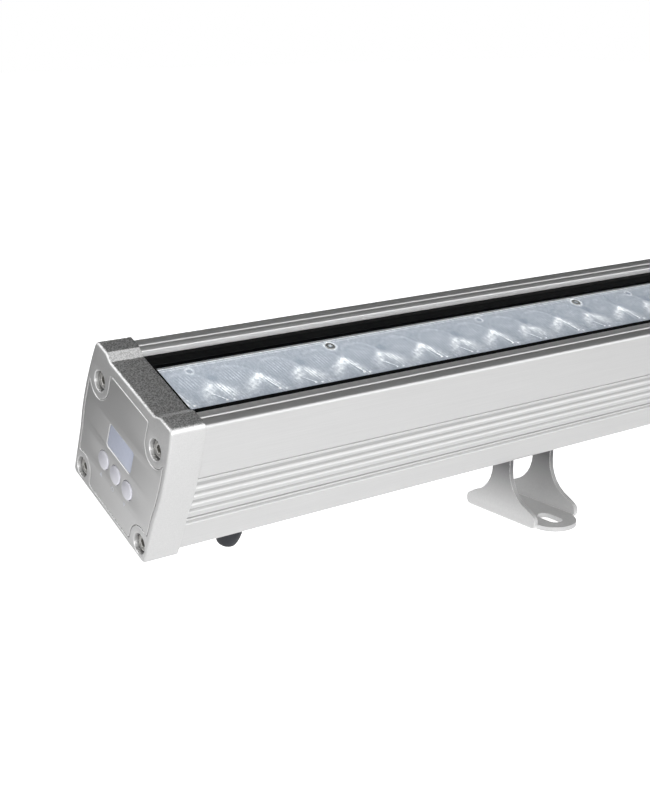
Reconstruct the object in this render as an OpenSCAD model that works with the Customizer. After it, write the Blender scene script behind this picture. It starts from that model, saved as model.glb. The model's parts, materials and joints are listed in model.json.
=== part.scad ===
// Outdoor wall washer light: a long sealed aluminium lamp on two tilting brackets.
// X runs along the lamp, Z is the normal of the surface the brackets are bolted to.
// The origin is the middle of the first bracket's sole, under its pivot.
// Lamp pieces are drawn upright, from the lamp's control end and underside, and then leant over.

/* [Lamp] */
// Length of one lens module
module_l = 320; // [280:1:400]
// From the lamp's end to the first lens module
end_margin = 20; // [20:0.1:30]
// From the lamp's end to the middle of its bracket
bracket_inset = 295; // [240:1:340]
// Lean of the glass away from the mounting surface's normal, in degrees
tilt = 22.5; // [0:0.5:60]

/* [Section] */
// Half the lamp's width at the underside
bottom_half = 38.5; // [37:0.1:39.2]
// Half the lamp's width where the straight lower side ends
flare_half = 39.5; // [38.6:0.1:40.5]
// Height where the straight lower side ends, as a share of cap_h
flare_share = 0.3585; // [0.2472:0.0001:0.4450]
// Half the lamp's width at its widest
belly_half = 41; // [40:0.1:43]
// Height of the widest place, as a share of cap_h
belly_share = 0.5686; // [0.5192:0.0001:0.6428]
// Half the lamp's width at the top of its sides
top_half = 38.2; // [37.5:0.1:39.5]
// Height of the ridges on top of the end caps
cap_h = 80.9; // [80.2:0.1:84]
// Height of the end caps between their ridges, as a share of cap_h
recess_share = 0.9691; // [0.9592:0.0001:0.9765]
// Half the width of the low place between the ridges
recess_half = 22; // [18:0.5:24]
// Sideways run of the slope up to a ridge
ridge_run = 5; // [3:0.5:7]
// Radius of the cap's lower corners
corner_r = 3; // [2:0.1:4]
// Radius of the cap's ridge corners
ridge_r = 3; // [2:0.1:4]

/* [End caps] */
// Thickness of an end cap along the lamp
cap_t = 18.5; // [17:0.1:19.5]
// Outer wall of an end cap, behind its face
cap_wall = 4.2; // [3.5:0.1:5]
// Half the width of the pocket inside a cap
pocket_half = 25; // [24:0.5:25.5]
// Lowest level of the pocket inside a cap, as a share of cap_h
pocket_low_share = 0.1854; // [0.1607:0.0001:0.1978]
// Highest level of the pocket inside a cap, as a share of cap_h
pocket_high_share = 0.6551; // [0.6242:0.0001:0.6551]
// Thickness of the sealing sheet under a cap
seal_t = 1; // [0.6:0.1:1.5]
// The sealing sheet's edge, inside the cap's edge
seal_inset = 1.6; // [1.4:0.1:2]
// Sideways place of the upper cap screws
upper_screw_y = 28.2; // [27.5:0.1:28.8]
// Height of the upper cap screws, as a share of cap_h
upper_screw_share = 0.7812; // [0.7726:0.0001:0.7911]
// Sideways place of the lower cap screws
lower_screw_y = 30.9; // [30.5:0.1:31.2]
// Height of the lower cap screws
lower_screw_z = 7.5; // [7.2:0.1:8]
// Radius of the recess round a cap screw's head
screw_recess_r = 5.3; // [5:0.1:5.5]
// Depth of the recess round a cap screw's head
screw_recess_t = 6.5; // [5.5:0.1:8]

/* [Face plates] */
// Thickness of the plate let into a cap's face
plate_t = 1.2; // [1:0.1:1.6]
// The plate's edge, inside the cap's edge
plate_inset = 3.5; // [3:0.1:4.5]
// Height of the plate's upper edge, as a share of cap_h
plate_top_share = 0.8962; // [0.8653:0.0001:0.9147]
// Radius of the plate's cut-outs round the screws
plate_dodge_r = 9.5; // [8:0.1:10]
// Radius of the plate's small corners
plate_corner_r = 1.5; // [0.5:0.1:2]
// Open groove between the plate and the cap
plate_gap = 0.5; // [0.3:0.05:0.8]

/* [Housing] */
// The housing's skin, inside the cap's edge
skin_inset = 1.2; // [0.8:0.1:1.3]
// Thickness of the housing's side walls, ribs included
wall_t = 3.2; // [2.9:0.1:3.3]
// Thickness of the housing's floor
floor_t = 2.5; // [2:0.1:3]
// Radius of the housing's lower corners
skin_corner_r = 5; // [4:0.1:6]
// Height of the rims beside the glass, as a share of cap_h
rim_share = 0.9747; // [0.9703:0.0001:0.9790]
// Radius of the rims' outer corners
rim_corner_r = 2; // [1:0.1:2.5]
// Half the width between the rims
channel_half = 25.9; // [25.4:0.1:26.5]
// Sideways place of the fine groove along each rim
rim_groove_y = 30.5; // [29.5:0.1:31.5]
// Half width and depth of the fine groove along each rim
rim_groove_t = 0.6; // [0.4:0.1:1.2]
// Thickness of the metal under a rim's top
rim_t = 3.3; // [3:0.1:4]
// Lower end of the ribbed band on the sides, as a share of cap_h
rib_low_share = 0.2200; // [0.1854:0.0001:0.2349]
// Upper end of the ribbed band on the sides, as a share of cap_h
rib_high_share = 0.6205; // [0.5850:0.0001:0.6350]
// Depth of the grooves between the ribs
rib_depth = 1.3; // [0.8:0.1:1.4]
// Underside of the shelf that carries the light boards, as a share of cap_h
shelf_share = 0.6180; // [0.6057:0.0001:0.6304]
// Thickness of the shelf
shelf_t = 3; // [2.5:0.1:3.5]
// Half the width of the lens chamber
lens_chamber_half = 23.5; // [23:0.1:24]
// Wall beside the lens chamber
chamber_wall = 2.5; // [2:0.1:2.8]
// Level of the ledges under the glass, as a share of cap_h
ledge_share = 0.8702; // [0.8653:0.0001:0.8752]
// Thickness of those ledges
ledge_t = 2; // [1.5:0.1:2.5]
// Half the width between the ledges
ledge_half = 20.2; // [19.5:0.1:20.5]
// Radius of the screw channels
boss_r = 4.2; // [4:0.1:4.4]

/* [Track] */
// Half the width of the track's mouth in the underside
mouth_half = 4.2; // [3.5:0.1:4.5]
// Half the width of the track inside
track_half = 7.5; // [7:0.1:7.8]
// Thickness of the track's lips and roof
track_wall = 2; // [1.5:0.1:2.2]
// Height inside the track
track_h = 5.4; // [5:0.1:6]

/* [Glass] */
// Thickness of the glass
glass_t = 3; // [2.5:0.1:3.2]
// Half the width of the glass
glass_half = 23.7; // [23:0.1:24.2]
// Rubber between the glass and the caps
glass_end_gap = 2.5; // [1.5:0.1:3]
// Thickness of the rubber under the glass
gasket_floor_t = 0.8; // [0.5:0.1:0.9]
// Height of the rubber beside the glass, above its ledge
gasket_h = 5.2; // [4.8:0.1:5.6]
// Half the width left open by the rubber lip on the glass
lip_half = 18.7; // [18:0.1:20]
// Width of the rubber lip at the glass's ends
lip_end = 4.1; // [3.5:0.1:5]

/* [Lenses and light boards] */
// Half the width of a lens module
lens_half = 17.9; // [17:0.1:18.2]
// Thickness of the plate that joins the lenses
lens_plate_t = 2; // [1.5:0.1:2.5]
// Radius of a lens at its narrow end
lens_tip_r = 5.2; // [4.8:0.1:6]
// Radius of the hollow round the light source
lens_hollow_r = 3.2; // [2.9:0.1:3.5]
// Depth of that hollow
lens_hollow_h = 5; // [4:0.1:7]
// Joint between two lens modules
module_gap = 0.6; // [0.3:0.1:1]
// Sideways place of the lens screws and pegs
lens_screw_y = 12.4; // [12.2:0.1:13]
// Radius of the posts under the lens screws
lens_post_r = 2.9; // [2.6:0.1:3]
// Thickness of a light board
board_t = 1.6; // [1:0.1:2]
// Half the width of a light board
board_half = 17; // [16:0.1:20]
// Side of a light source's square base
source_w = 3.45; // [3:0.05:3.6]
// Thickness of that base
source_t = 0.7; // [0.5:0.1:1]
// Radius of the window on a light source
source_r = 1.5; // [1:0.1:1.6]
// Height of that window above the base
source_dome_h = 0.8; // [0.5:0.1:1.5]

/* [Controls] */
// Width of the display window
window_w = 24.2; // [20:0.1:26]
// Height of the display window
window_h = 12.9; // [11:0.1:14]
// Level of the display window's middle, as a share of cap_h
window_share = 0.5229; // [0.5068:0.0001:0.5315]
// Radius of the display window's corners
window_r = 1.5; // [0.5:0.1:2]
// Thickness of the display window
window_t = 2; // [1.5:0.1:2.5]
// Depth of the window's surface below the face plate's
window_sink = 0.3; // [0.1:0.05:0.5]
// Radius of a push button
button_r = 4.9; // [4:0.1:5]
// Distance between the push buttons
button_pitch = 12.3; // [12.2:0.1:12.8]
// Level of the push buttons, as a share of cap_h
button_share = 0.3239; // [0.3090:0.0001:0.3337]
// How far a button stands out of the face plate
button_proud = 1.2; // [0.9:0.1:2]
// How far a button can be pressed in
button_travel = 0.8; // [0.4:0.1:0.8]
// Radius of the collar that keeps a button in
collar_r = 5.6; // [5.5:0.05:5.7]
// Thickness of that collar
collar_t = 1; // [0.8:0.1:1.2]
// Radius of a button's stem
stem_r = 1.8; // [1.4:0.1:2.2]
// Length of a button's stem
stem_l = 1.6; // [1:0.1:2]
// Side of a key switch
switch_w = 6; // [5.5:0.1:6.2]
// Height of a key switch's case
switch_h = 3.5; // [3:0.1:4]
// Height of a key switch's plunger above its case
plunger_h = 0.7; // [0.5:0.1:0.9]
// Thickness of the control board
control_board_t = 1.6; // [1.2:0.1:2]
// Radius of the spacers under the control board
spacer_r = 2.6; // [2.2:0.1:2.8]

/* [Power unit] */
// Length of the power unit's case
driver_l = 220; // [160:1:260]
// Width of the power unit's case
driver_w = 44; // [36:1:50]
// Height of the power unit's case
driver_h = 26; // [20:0.5:30]
// Length of the lugs at the power unit's ends
driver_lug_l = 14; // [10:0.5:18]
// Thickness of those lugs
driver_lug_t = 2.4; // [1.6:0.1:3]
// Radius of the small screws
small_screw_r = 1.5; // [1.2:0.05:1.6]
// Radius of a small screw's head
small_head_r = 2.8; // [2.5:0.1:2.8]
// Height of a small screw's head
small_head_t = 1.2; // [1:0.1:1.5]
// Length of a terminal block
terminal_l = 26; // [20:1:30]
// Width of a terminal block
terminal_w = 12; // [10:0.5:14]
// Height of a terminal block
terminal_h = 14; // [10:0.5:16]
// Radius of an inner wire
wire_r = 1; // [0.6:0.1:1.2]

/* [Cable glands] */
// From the lamp's end to a gland
gland_x = 63.5; // [50:0.5:70]
// Sideways place of a gland
gland_y = -18.5; // [-18.6:0.1:-18.2]
// Outer radius of a gland's thread
gland_thread_r = 5.8; // [5:0.1:6]
// Radius of a gland's hexagons, over the corners
gland_hex_r = 7.7; // [7.2:0.1:7.8]
// Thickness of a gland's fixed hexagon
gland_hex_t = 4.5; // [4:0.1:6]
// Radius of a gland's domed nut
gland_nut_r = 7.2; // [7:0.1:7.6]
// Height of the straight part of the domed nut
gland_nut_h = 7; // [5:0.5:9]
// Radius of the domed nut's tip
gland_tip_r = 4.6; // [4.4:0.1:5.2]
// Height of the domed nut's taper
gland_taper_h = 10.4; // [10:0.1:14]
// Thickness of the lock nut inside the lamp
locknut_t = 3; // [2:0.1:4]
// Radius of the cable that a gland grips
cable_r = 3.5; // [3:0.1:3.6]
// Wall of the rubber grip round the cable
grip_t = 1; // [0.8:0.1:1.1]
// Length of the rubber grip
grip_l = 8; // [6:0.5:10]

/* [Sliders] */
// From the lamp's underside to the pivot
pivot_drop = 12; // [11:0.1:16]
// Length of the slider's foot in the track
slider_l = 58; // [52:1:80]
// Half the width of the slider's ear
ear_half = 8; // [7.5:0.1:8.5]
// Radius of the grub screws that lock a slider
grub_r = 2; // [1.5:0.1:2.5]

/* [Brackets] */
// Height of the pivot above the mounting surface
pivot_h = 54; // [50:0.5:70]
// Width of a bracket over its two legs
bracket_w = 38; // [34:0.5:44]
// Thickness of the bracket's sheet
sheet_t = 3; // [2:0.1:3.5]
// Radius of the bracket's bends, outside
bend_r = 2.5; // [1:0.1:3]
// Half the width of a leg's neck
neck_half = 7.6; // [7:0.1:8.5]
// Radius of the eye round the pivot
eye_r = 8.5; // [8:0.1:9]
// Half the width of a leg at its foot
foot_half = 30.7; // [26:0.1:32]
// Radius of a foot's tip
foot_r = 5; // [3:0.1:6]
// Radius of the hollow curve between neck and foot
sweep_r = 22; // [16:0.5:24]
// Height of that curve's centre
sweep_z = 33; // [30:0.5:36]
// Half the length of the sole
sole_half = 42; // [38:0.5:50]
// Half the width of the sole's tongues
tongue_half = 15; // [12:0.5:16]
// Distance between the two bolt slots
slot_pitch = 50; // [46:0.5:54]
// Length of a bolt slot
slot_l = 18; // [14:0.5:19]
// Half the width of a bolt slot
slot_r = 4.6; // [4:0.1:5]

/* [Screws] */
// Radius of the cap screws
cap_screw_r = 2.5; // [2:0.1:2.6]
// Length of the cap screws under their heads
cap_screw_l = 26; // [20:1:40]
// Radius of a cap screw's head
cap_head_r = 4.4; // [4:0.1:4.6]
// Height of a cap screw's head
cap_head_t = 4.5; // [3:0.1:5]
// Radius of the key socket in a cap screw's head
cap_key_r = 2.3; // [1.8:0.1:2.4]
// Radius of the pivot bolt
pivot_r = 3; // [2.5:0.1:3.5]
// Radius of the pivot bolt's head and nut, over the corners
pivot_hex_r = 5.8; // [5.4:0.1:6.4]
// Thickness of the pivot bolt's head and nut
pivot_hex_t = 4.5; // [3:0.1:5]
// Radius of the washers on the pivot bolt
washer_r = 6.5; // [6:0.1:7]
// Thickness of those washers
washer_t = 1.2; // [1:0.1:1.6]
// Bolt thread left beyond the nut
pivot_spare = 2; // [1:0.1:4]

/* [Fits] */
// Radial clearance of a turning fit
run_gap = 0.05; // [0.02:0.01:0.08]
// Clearance of a sliding piece in its guide
slide_gap = 0.3; // [0.2:0.05:0.4]
// Clearance of a screw in its hole
screw_gap = 0.1; // [0.05:0.05:0.3]
// Clearance between a fixed piece and its neighbour
seat_gap = 0.2; // [0.1:0.05:0.3]

/* [Hidden] */

$fn = 64;
module_count = 3;
lens_count = 12;
// Overrun of every cut
cut = 1;
side_steps = 10;
corner_steps = 6;

flare_z = flare_share * cap_h;
belly_z = belly_share * cap_h;
recess_z = recess_share * cap_h;
upper_screw_z = upper_screw_share * cap_h;
plate_top = plate_top_share * cap_h;
rim_z = rim_share * cap_h;
rib_low = rib_low_share * cap_h;
rib_high = rib_high_share * cap_h;
shelf_z = shelf_share * cap_h;
ledge_z = ledge_share * cap_h;
window_z = window_share * cap_h;
button_z = button_share * cap_h;
pocket_low = pocket_low_share * cap_h;
pocket_high = pocket_high_share * cap_h;
gasket_top = ledge_z + gasket_h;
lamp_l = module_count * module_l + 2 * end_margin;
housing_l = lamp_l - 2 * cap_t;
bracket_span = lamp_l - 2 * bracket_inset;
lens_pitch = module_l / lens_count;
// Grooves between the ribs, as start and end shares of the ribbed band from its top
groove_shares = [[0, 0.028], [0.077, 0.2], [0.256, 0.367], [0.429, 0.546],
    [0.623, 0.704], [0.796, 0.836], [0.864, 0.938]];
groove_taper_share = 0.2;
// Places of the lens pegs and screws along a module, as shares of its length
peg_shares = [1 / 16, 2 / 3];
screw_shares = [1 / 3, 11 / 12];
// A lens's wide end, as a share of the distance between lenses
lens_mouth_share = 0.93;
hollow_taper_share = 0.85;
key_depth_share = 0.55;
wire_sides = 8;
socket_sides = 6;

glass_z = ledge_z + gasket_floor_t;
glass_l = housing_l - 2 * glass_end_gap;
lens_top = glass_z - seat_gap;
board_z = shelf_z + shelf_t;
lens_bottom = board_z + board_t + seat_gap;
floor_top = skin_inset + floor_t;
track_low = skin_inset + track_wall;
track_top = track_low + track_h;
head_x = screw_recess_t - cap_head_t;
button_back = cap_wall + seat_gap + collar_t;
stem_end = button_back + stem_l;
plunger_top = stem_end + button_travel + seat_gap;
control_board_x = plunger_top + plunger_h + switch_h;
driver_x = lamp_l / 2 - driver_l / 2;
terminal_x = gland_x + gland_hex_r + seat_gap;
terminal_level = floor_top + terminal_h / 2;
driver_level = shelf_z - driver_h / 2;
leg_gap = bracket_w / 2 - sheet_t;
washer_x = bracket_w / 2;
foot_y = foot_half - foot_r;
sweep_y = neck_half + sweep_r;
sweep_start = -108;
foot_end = 62;

// Half the cap's width at a height above the underside
function side_half(z) =
    z < flare_z ? bottom_half + (flare_half - bottom_half) * z / flare_z :
    z < belly_z ? belly_half - (belly_half - flare_half) * pow((belly_z - z) / (belly_z - flare_z), 2) :
    belly_half - (belly_half - top_half) * pow((z - belly_z) / (recess_z - belly_z), 2);

// Points of an arc, from one angle to another
function arc(centre, r, from, to) =
    [for (i = [0 : corner_steps])
        let (a = from + (to - from) * i / corner_steps)
        centre + r * [cos(a), sin(a)]];

// Points up one side, between two heights
function side(inset, low, high) =
    [for (i = [0 : side_steps])
        let (z = low + (high - low) * i / side_steps)
        [side_half(z) - inset, z]];

// A half outline and its mirror image, as one closed outline
function both_sides(half) =
    concat(half, [for (i = [len(half) - 1 : -1 : 0]) [-half[i][0], half[i][1]]]);

// The end cap's outline, drawn in by an inset
function cap_points(inset) =
    both_sides(concat(
        arc([bottom_half - corner_r, corner_r], corner_r - inset, -90, 0),
        side(inset, 2 * corner_r, cap_h - 2 * ridge_r),
        arc([top_half - ridge_r, cap_h - ridge_r], ridge_r - inset, 0, 90),
        [[recess_half + ridge_run, cap_h - inset], [recess_half, recess_z - inset]]));

// The housing's outer outline, without its grooves
function skin_points() =
    both_sides(concat(
        arc([bottom_half - skin_inset - skin_corner_r, skin_inset + skin_corner_r], skin_corner_r, -90, 0),
        side(skin_inset, skin_inset + skin_corner_r + corner_r, rim_z - 2 * rim_corner_r),
        arc([top_half - skin_inset - rim_corner_r, rim_z - rim_corner_r], rim_corner_r, 0, 90)));

// A flat shape in the lamp's cross-section, drawn out along X
module along_x(length) {
    rotate([90, 0, 90]) linear_extrude(length) children();
}

// A round rod along X
module rod_x(r, length, sides = $fn) {
    rotate([0, 90, 0]) cylinder(r = r, h = length, $fn = sides);
}

// The vector from a wire's middle to its skin, after a bend from one direction to another
function past_bend(spoke, before, after) =
    let (corner = at_bend(spoke, before, after)) corner - after * (corner * after);

// The same vector at the bend itself, on the mitre plane
function at_bend(spoke, before, after) =
    spoke - before * (spoke * (before + after)) / (before * (before + after));

// Rings of points round a route, from place number i on
function rings(route, spokes, i = 1) =
    let (before = (route[i] - route[i - 1]) / norm(route[i] - route[i - 1]))
    i == len(route) - 1 ? [[for (spoke = spokes) route[i] + spoke]] :
    let (after = (route[i + 1] - route[i]) / norm(route[i + 1] - route[i]))
    concat([[for (spoke = spokes) route[i] + at_bend(spoke, before, after)]],
           rings(route, [for (spoke = spokes) past_bend(spoke, before, after)], i + 1));

// A round wire through a list of places
module wire(route) {
    n = wire_sides;
    first = (route[1] - route[0]) / norm(route[1] - route[0]);
    sideways = cross([0, 0, 1], first) / norm(cross([0, 0, 1], first));
    upward = cross(first, sideways);
    spokes = [for (k = [0 : n - 1]) wire_r * (cos(360 * k / n) * sideways + sin(360 * k / n) * upward)];
    skin = concat([[for (spoke = spokes) route[0] + spoke]], rings(route, spokes));
    last = len(skin) - 1;
    polyhedron(
        points = [for (ring = skin) each ring],
        faces = concat(
            [[for (k = [0 : n - 1]) k]],
            [[for (k = [n - 1 : -1 : 0]) last * n + k]],
            [for (j = [0 : last - 1], k = [0 : n - 1]) [j * n + k, (j + 1) * n + k, (j + 1) * n + (k + 1) % n]],
            [for (j = [0 : last - 1], k = [0 : n - 1])
                [j * n + k, (j + 1) * n + (k + 1) % n, j * n + (k + 1) % n]]));
}

// Lamp pieces, moved from the drawing place to the leaning lamp
module on_lamp() {
    translate([-bracket_inset, 0, pivot_h]) rotate([tilt, 0, 0]) translate([0, 0, pivot_drop]) children();
}

// The same at the lamp's far end, as a mirror image
module on_far_end() {
    on_lamp() translate([lamp_l, 0, 0]) mirror([1, 0, 0]) children();
}

module at_screws() {
    for (side = [-1, 1]) {
        translate([0, side * upper_screw_y, upper_screw_z]) children();
        translate([0, side * lower_screw_y, lower_screw_z]) children();
    }
}

module at_buttons() {
    for (i = [-1 : 1]) translate([0, i * button_pitch, button_z]) children();
}

module rounded_window(grow) {
    half_w = window_w / 2 + grow;
    half_h = window_h / 2 + grow;
    square([2 * half_w, 2 * (half_h - window_r)], center = true);
    square([2 * (half_w - window_r), 2 * half_h], center = true);
    for (side = [-1, 1], end = [-1, 1])
        translate([side * (half_w - window_r), end * (half_h - window_r)]) circle(window_r);
}

module rib_grooves() {
    band = rib_high - rib_low;
    for (side = [-1, 1], share = groove_shares) {
        high = rib_high - share[0] * band;
        low = rib_high - share[1] * band;
        slant = (high - low) * groove_taper_share;
        face = side_half((high + low) / 2) - skin_inset;
        polygon([[side * (face + cut), low - slant], [side * (face - rib_depth), low + slant],
                 [side * (face - rib_depth), high - slant], [side * (face + cut), high + slant]]);
    }
}

// Hollow between the lens chamber and one side wall
module side_hollow() {
    difference() {
        intersection() {
            polygon(both_sides(side(skin_inset + wall_t, board_z, rim_z - rim_t)));
            union() {
                translate([lens_chamber_half + chamber_wall, board_z])
                    square([belly_half, ledge_z - ledge_t - board_z]);
                translate([channel_half + chamber_wall, board_z]) square([belly_half, cap_h]);
            }
        }
        translate([upper_screw_y, upper_screw_z]) circle(boss_r);
    }
}

module lower_chamber() {
    difference() {
        polygon(both_sides(side(skin_inset + wall_t, floor_top, shelf_z)));
        for (side = [-1, 1]) translate([side * lower_screw_y, lower_screw_z]) circle(boss_r);
        translate([-track_half - track_wall, 0]) square([2 * (track_half + track_wall), track_top + track_wall]);
    }
}

module housing_section() {
    difference() {
        polygon(skin_points());
        rib_grooves();
        lower_chamber();
        for (side = [0, 1]) mirror([side, 0]) side_hollow();
        translate([-lens_chamber_half, board_z]) square([2 * lens_chamber_half, ledge_z - ledge_t - board_z]);
        translate([-ledge_half, board_z]) square([2 * ledge_half, ledge_z - board_z + cut]);
        translate([-channel_half, ledge_z]) square([2 * channel_half, cap_h - ledge_z]);
        translate([-track_half, track_low]) square([2 * track_half, track_h]);
        translate([-mouth_half, 0]) square([2 * mouth_half, track_low + cut]);
        for (side = [-1, 1]) {
            translate([side * rim_groove_y, rim_z]) rotate(45) square(sqrt(2) * rim_groove_t, center = true);
            translate([side * upper_screw_y, upper_screw_z]) circle(cap_screw_r + screw_gap);
            translate([side * lower_screw_y, lower_screw_z]) circle(cap_screw_r + screw_gap);
        }
    }
}

module housing() color("#c8cacc") {
    on_lamp() difference() {
        translate([cap_t, 0, 0]) along_x(housing_l) housing_section();
        for (x = [gland_x, lamp_l - gland_x])
            translate([x, gland_y, 0]) cylinder(r = gland_thread_r + screw_gap, h = floor_top + cut);
        at_driver_screws() cylinder(r = small_screw_r + screw_gap, h = shelf_t + 2 * cut);
        at_lens_screws() cylinder(r = small_screw_r + screw_gap, h = shelf_t + 2 * cut);
        at_wire_holes() cylinder(r = 3 * wire_r, h = shelf_t + 2 * cut);
    }
}

// Screw places through the shelf, a little below it
module at_driver_screws() {
    for (end = [-1, 1], side = [-1, 1])
        translate([lamp_l / 2 + end * (driver_l + driver_lug_l) / 2, side * driver_w / 8, shelf_z - cut])
            children();
}

module at_lens_screws() {
    for (i = [0 : module_count - 1], share = screw_shares)
        translate([end_margin + (i + share) * module_l, lens_screw_y, shelf_z - cut]) children();
}

module at_wire_holes() {
    for (i = [0 : module_count - 1])
        translate([end_margin + (i + peg_shares[0] / 2) * module_l, board_half + 3 * wire_r, shelf_z - cut])
            children();
}

module cap_shell() {
    difference() {
        along_x(cap_t) polygon(cap_points(0));
        translate([-cut, 0, 0]) along_x(plate_t + cut) offset(delta = plate_gap) plate_outline();
        translate([cap_t - seal_t, 0, 0]) along_x(seal_t + cut) polygon(cap_points(seal_inset));
        translate([cap_wall, -pocket_half, pocket_low]) cube([cap_t, 2 * pocket_half, pocket_high - pocket_low]);
        at_screws() {
            translate([-cut, 0, 0]) rod_x(screw_recess_r, screw_recess_t + cut);
            rod_x(cap_screw_r + screw_gap, cap_t + cut);
        }
    }
}

module left_cap() color("#b9babc") {
    on_lamp() difference() {
        cap_shell();
        translate([0, 0, window_z]) along_x(cap_wall + cut) rounded_window(seat_gap);
        at_buttons() rod_x(button_r + slide_gap, cap_wall + cut);
    }
}

module right_cap() color("#b9babc") {
    on_far_end() cap_shell();
}

module plate_outline() {
    offset(r = plate_corner_r) offset(delta = -plate_corner_r) difference() {
        polygon(both_sides(side(plate_inset, plate_inset, plate_top)));
        for (side = [0, 1]) mirror([side, 0]) {
            translate([upper_screw_y, upper_screw_z]) screw_dodge();
            translate([lower_screw_y, lower_screw_z]) mirror([0, 1]) screw_dodge();
        }
    }
}

// What a plate leaves free round a screw and out to the corner beyond it
module screw_dodge() {
    circle(plate_dodge_r);
    translate([-plate_dodge_r, 0]) square(belly_half);
}

module face_plate() {
    along_x(plate_t) plate_outline();
}

module control_plate() color("#a4a6aa") {
    on_lamp() difference() {
        face_plate();
        translate([-cut, 0, window_z]) along_x(plate_t + 2 * cut) rounded_window(seat_gap);
        at_buttons() translate([-cut, 0, 0]) rod_x(button_r + slide_gap, plate_t + 2 * cut);
    }
}

module blank_plate() color("#a4a6aa") {
    on_far_end() face_plate();
}

module cap_seal() {
    difference() {
        translate([cap_t - seal_t, 0, 0]) along_x(seal_t) polygon(cap_points(seal_inset));
        translate([0, -pocket_half, pocket_low]) cube([cap_t + cut, 2 * pocket_half, pocket_high - pocket_low]);
        at_screws() rod_x(cap_screw_r + screw_gap, cap_t + cut);
    }
}

module left_cap_seal() color("#3a3b3d") {
    on_lamp() cap_seal();
}

module right_cap_seal() color("#3a3b3d") {
    on_far_end() cap_seal();
}

module end_screws() {
    at_screws() translate([head_x, 0, 0]) difference() {
        union() {
            rod_x(cap_head_r, cap_head_t);
            rod_x(cap_screw_r, cap_head_t + cap_screw_l);
        }
        translate([-cut, 0, 0]) rod_x(cap_key_r, cap_head_t * key_depth_share + cut, socket_sides);
    }
}

module cap_screws() color("#9a9da1") {
    on_lamp() end_screws();
    on_far_end() end_screws();
}

module glass_cover() color("#dfe8ee", 0.35) {
    on_lamp() translate([cap_t + glass_end_gap, -glass_half, glass_z]) cube([glass_l, 2 * glass_half, glass_t]);
}

module glass_gasket() color("#161616") {
    on_lamp() difference() {
        translate([cap_t, -channel_half, ledge_z]) cube([housing_l, 2 * channel_half, gasket_top - ledge_z]);
        translate([cap_t + glass_end_gap, -glass_half, glass_z]) cube([glass_l, 2 * glass_half, glass_t]);
        translate([cap_t + lip_end, -lip_half, glass_z]) cube([housing_l - 2 * lip_end, 2 * lip_half, cap_h]);
        translate([end_margin, -ledge_half, 0]) cube([module_count * module_l, 2 * ledge_half, glass_z + cut]);
    }
}

// One lens: a cone with a hollow at its narrow end, and its middle on the Z axis
module lens() {
    rotate_extrude() polygon([
        [0, lens_top - lens_plate_t / 2], [lens_pitch / 2 * lens_mouth_share, lens_top - lens_plate_t / 2],
        [lens_pitch / 2 * lens_mouth_share, lens_top - lens_plate_t], [lens_tip_r, lens_bottom],
        [lens_hollow_r, lens_bottom], [lens_hollow_r * hollow_taper_share, lens_bottom + lens_hollow_h],
        [0, lens_bottom + lens_hollow_h]]);
}

// Lens module number i, counted from the control end
module lens_module(i) {
    on_lamp() translate([end_margin + i * module_l, 0, 0]) difference() {
        union() {
            translate([module_gap / 2, -lens_half, lens_top - lens_plate_t])
                cube([module_l - module_gap, 2 * lens_half, lens_plate_t]);
            for (k = [0 : lens_count - 1]) translate([(k + 1 / 2) * lens_pitch, 0, 0]) lens();
            for (share = concat(peg_shares, screw_shares))
                translate([share * module_l, lens_screw_y, board_z + board_t])
                    cylinder(r = share == peg_shares[0] ? lens_post_r / 2 : lens_post_r,
                             h = lens_top - lens_plate_t / 2 - board_z - board_t);
        }
        for (share = screw_shares) translate([share * module_l, lens_screw_y, board_z]) {
            cylinder(r = small_screw_r + screw_gap, h = cap_h);
            translate([0, 0, lens_top - small_head_t - board_z])
                cylinder(r = small_head_r + screw_gap, h = cap_h);
        }
    }
}

module left_lens_module() color("#c3cbd6", 0.6) lens_module(0);
module middle_lens_module() color("#c3cbd6", 0.6) lens_module(1);
module right_lens_module() color("#c3cbd6", 0.6) lens_module(2);

module lens_screws() color("#aeb2b8") {
    head_z = lens_top - small_head_t;
    on_lamp() at_lens_screws() translate([0, 0, cut - shelf_z]) {
        translate([0, 0, shelf_z]) cylinder(r = small_screw_r, h = head_z - shelf_z);
        translate([0, 0, head_z]) cylinder(r = small_head_r, h = small_head_t);
    }
}

// Light board number i, counted from the control end
module light_board(i) {
    on_lamp() difference() {
        translate([end_margin + i * module_l + module_gap / 2, -board_half, board_z])
            cube([module_l - module_gap, 2 * board_half, board_t]);
        at_lens_screws() cylinder(r = small_screw_r + screw_gap, h = shelf_t + board_t + 2 * cut);
    }
}

module left_light_board() color("#eef0ee") light_board(0);
module middle_light_board() color("#eef0ee") light_board(1);
module right_light_board() color("#eef0ee") light_board(2);

module light_sources() color("#e8d36a") {
    on_lamp() for (i = [0 : module_count * lens_count - 1])
        translate([end_margin + (i + 1 / 2) * lens_pitch, 0, board_z + board_t]) {
            translate([-source_w / 2, -source_w / 2, 0]) cube([source_w, source_w, source_t]);
            cylinder(r = source_r, h = source_t + source_dome_h);
        }
}

module power_unit() color("#8d9094") {
    on_lamp() difference() {
        union() {
            translate([driver_x, -driver_w / 2, shelf_z - driver_h]) cube([driver_l, driver_w, driver_h]);
            translate([driver_x - driver_lug_l, -driver_w / 2, shelf_z - driver_lug_t])
                cube([driver_l + 2 * driver_lug_l, driver_w, driver_lug_t]);
        }
        at_driver_screws() translate([0, 0, -driver_lug_t])
            cylinder(r = small_screw_r + screw_gap, h = driver_lug_t + 2 * cut);
    }
}

module power_unit_screws() color("#aeb2b8") {
    on_lamp() at_driver_screws() translate([0, 0, cut - driver_lug_t]) {
        cylinder(r = small_screw_r, h = driver_lug_t + shelf_t);
        translate([0, 0, -small_head_t]) cylinder(r = small_head_r, h = small_head_t);
    }
}

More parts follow.
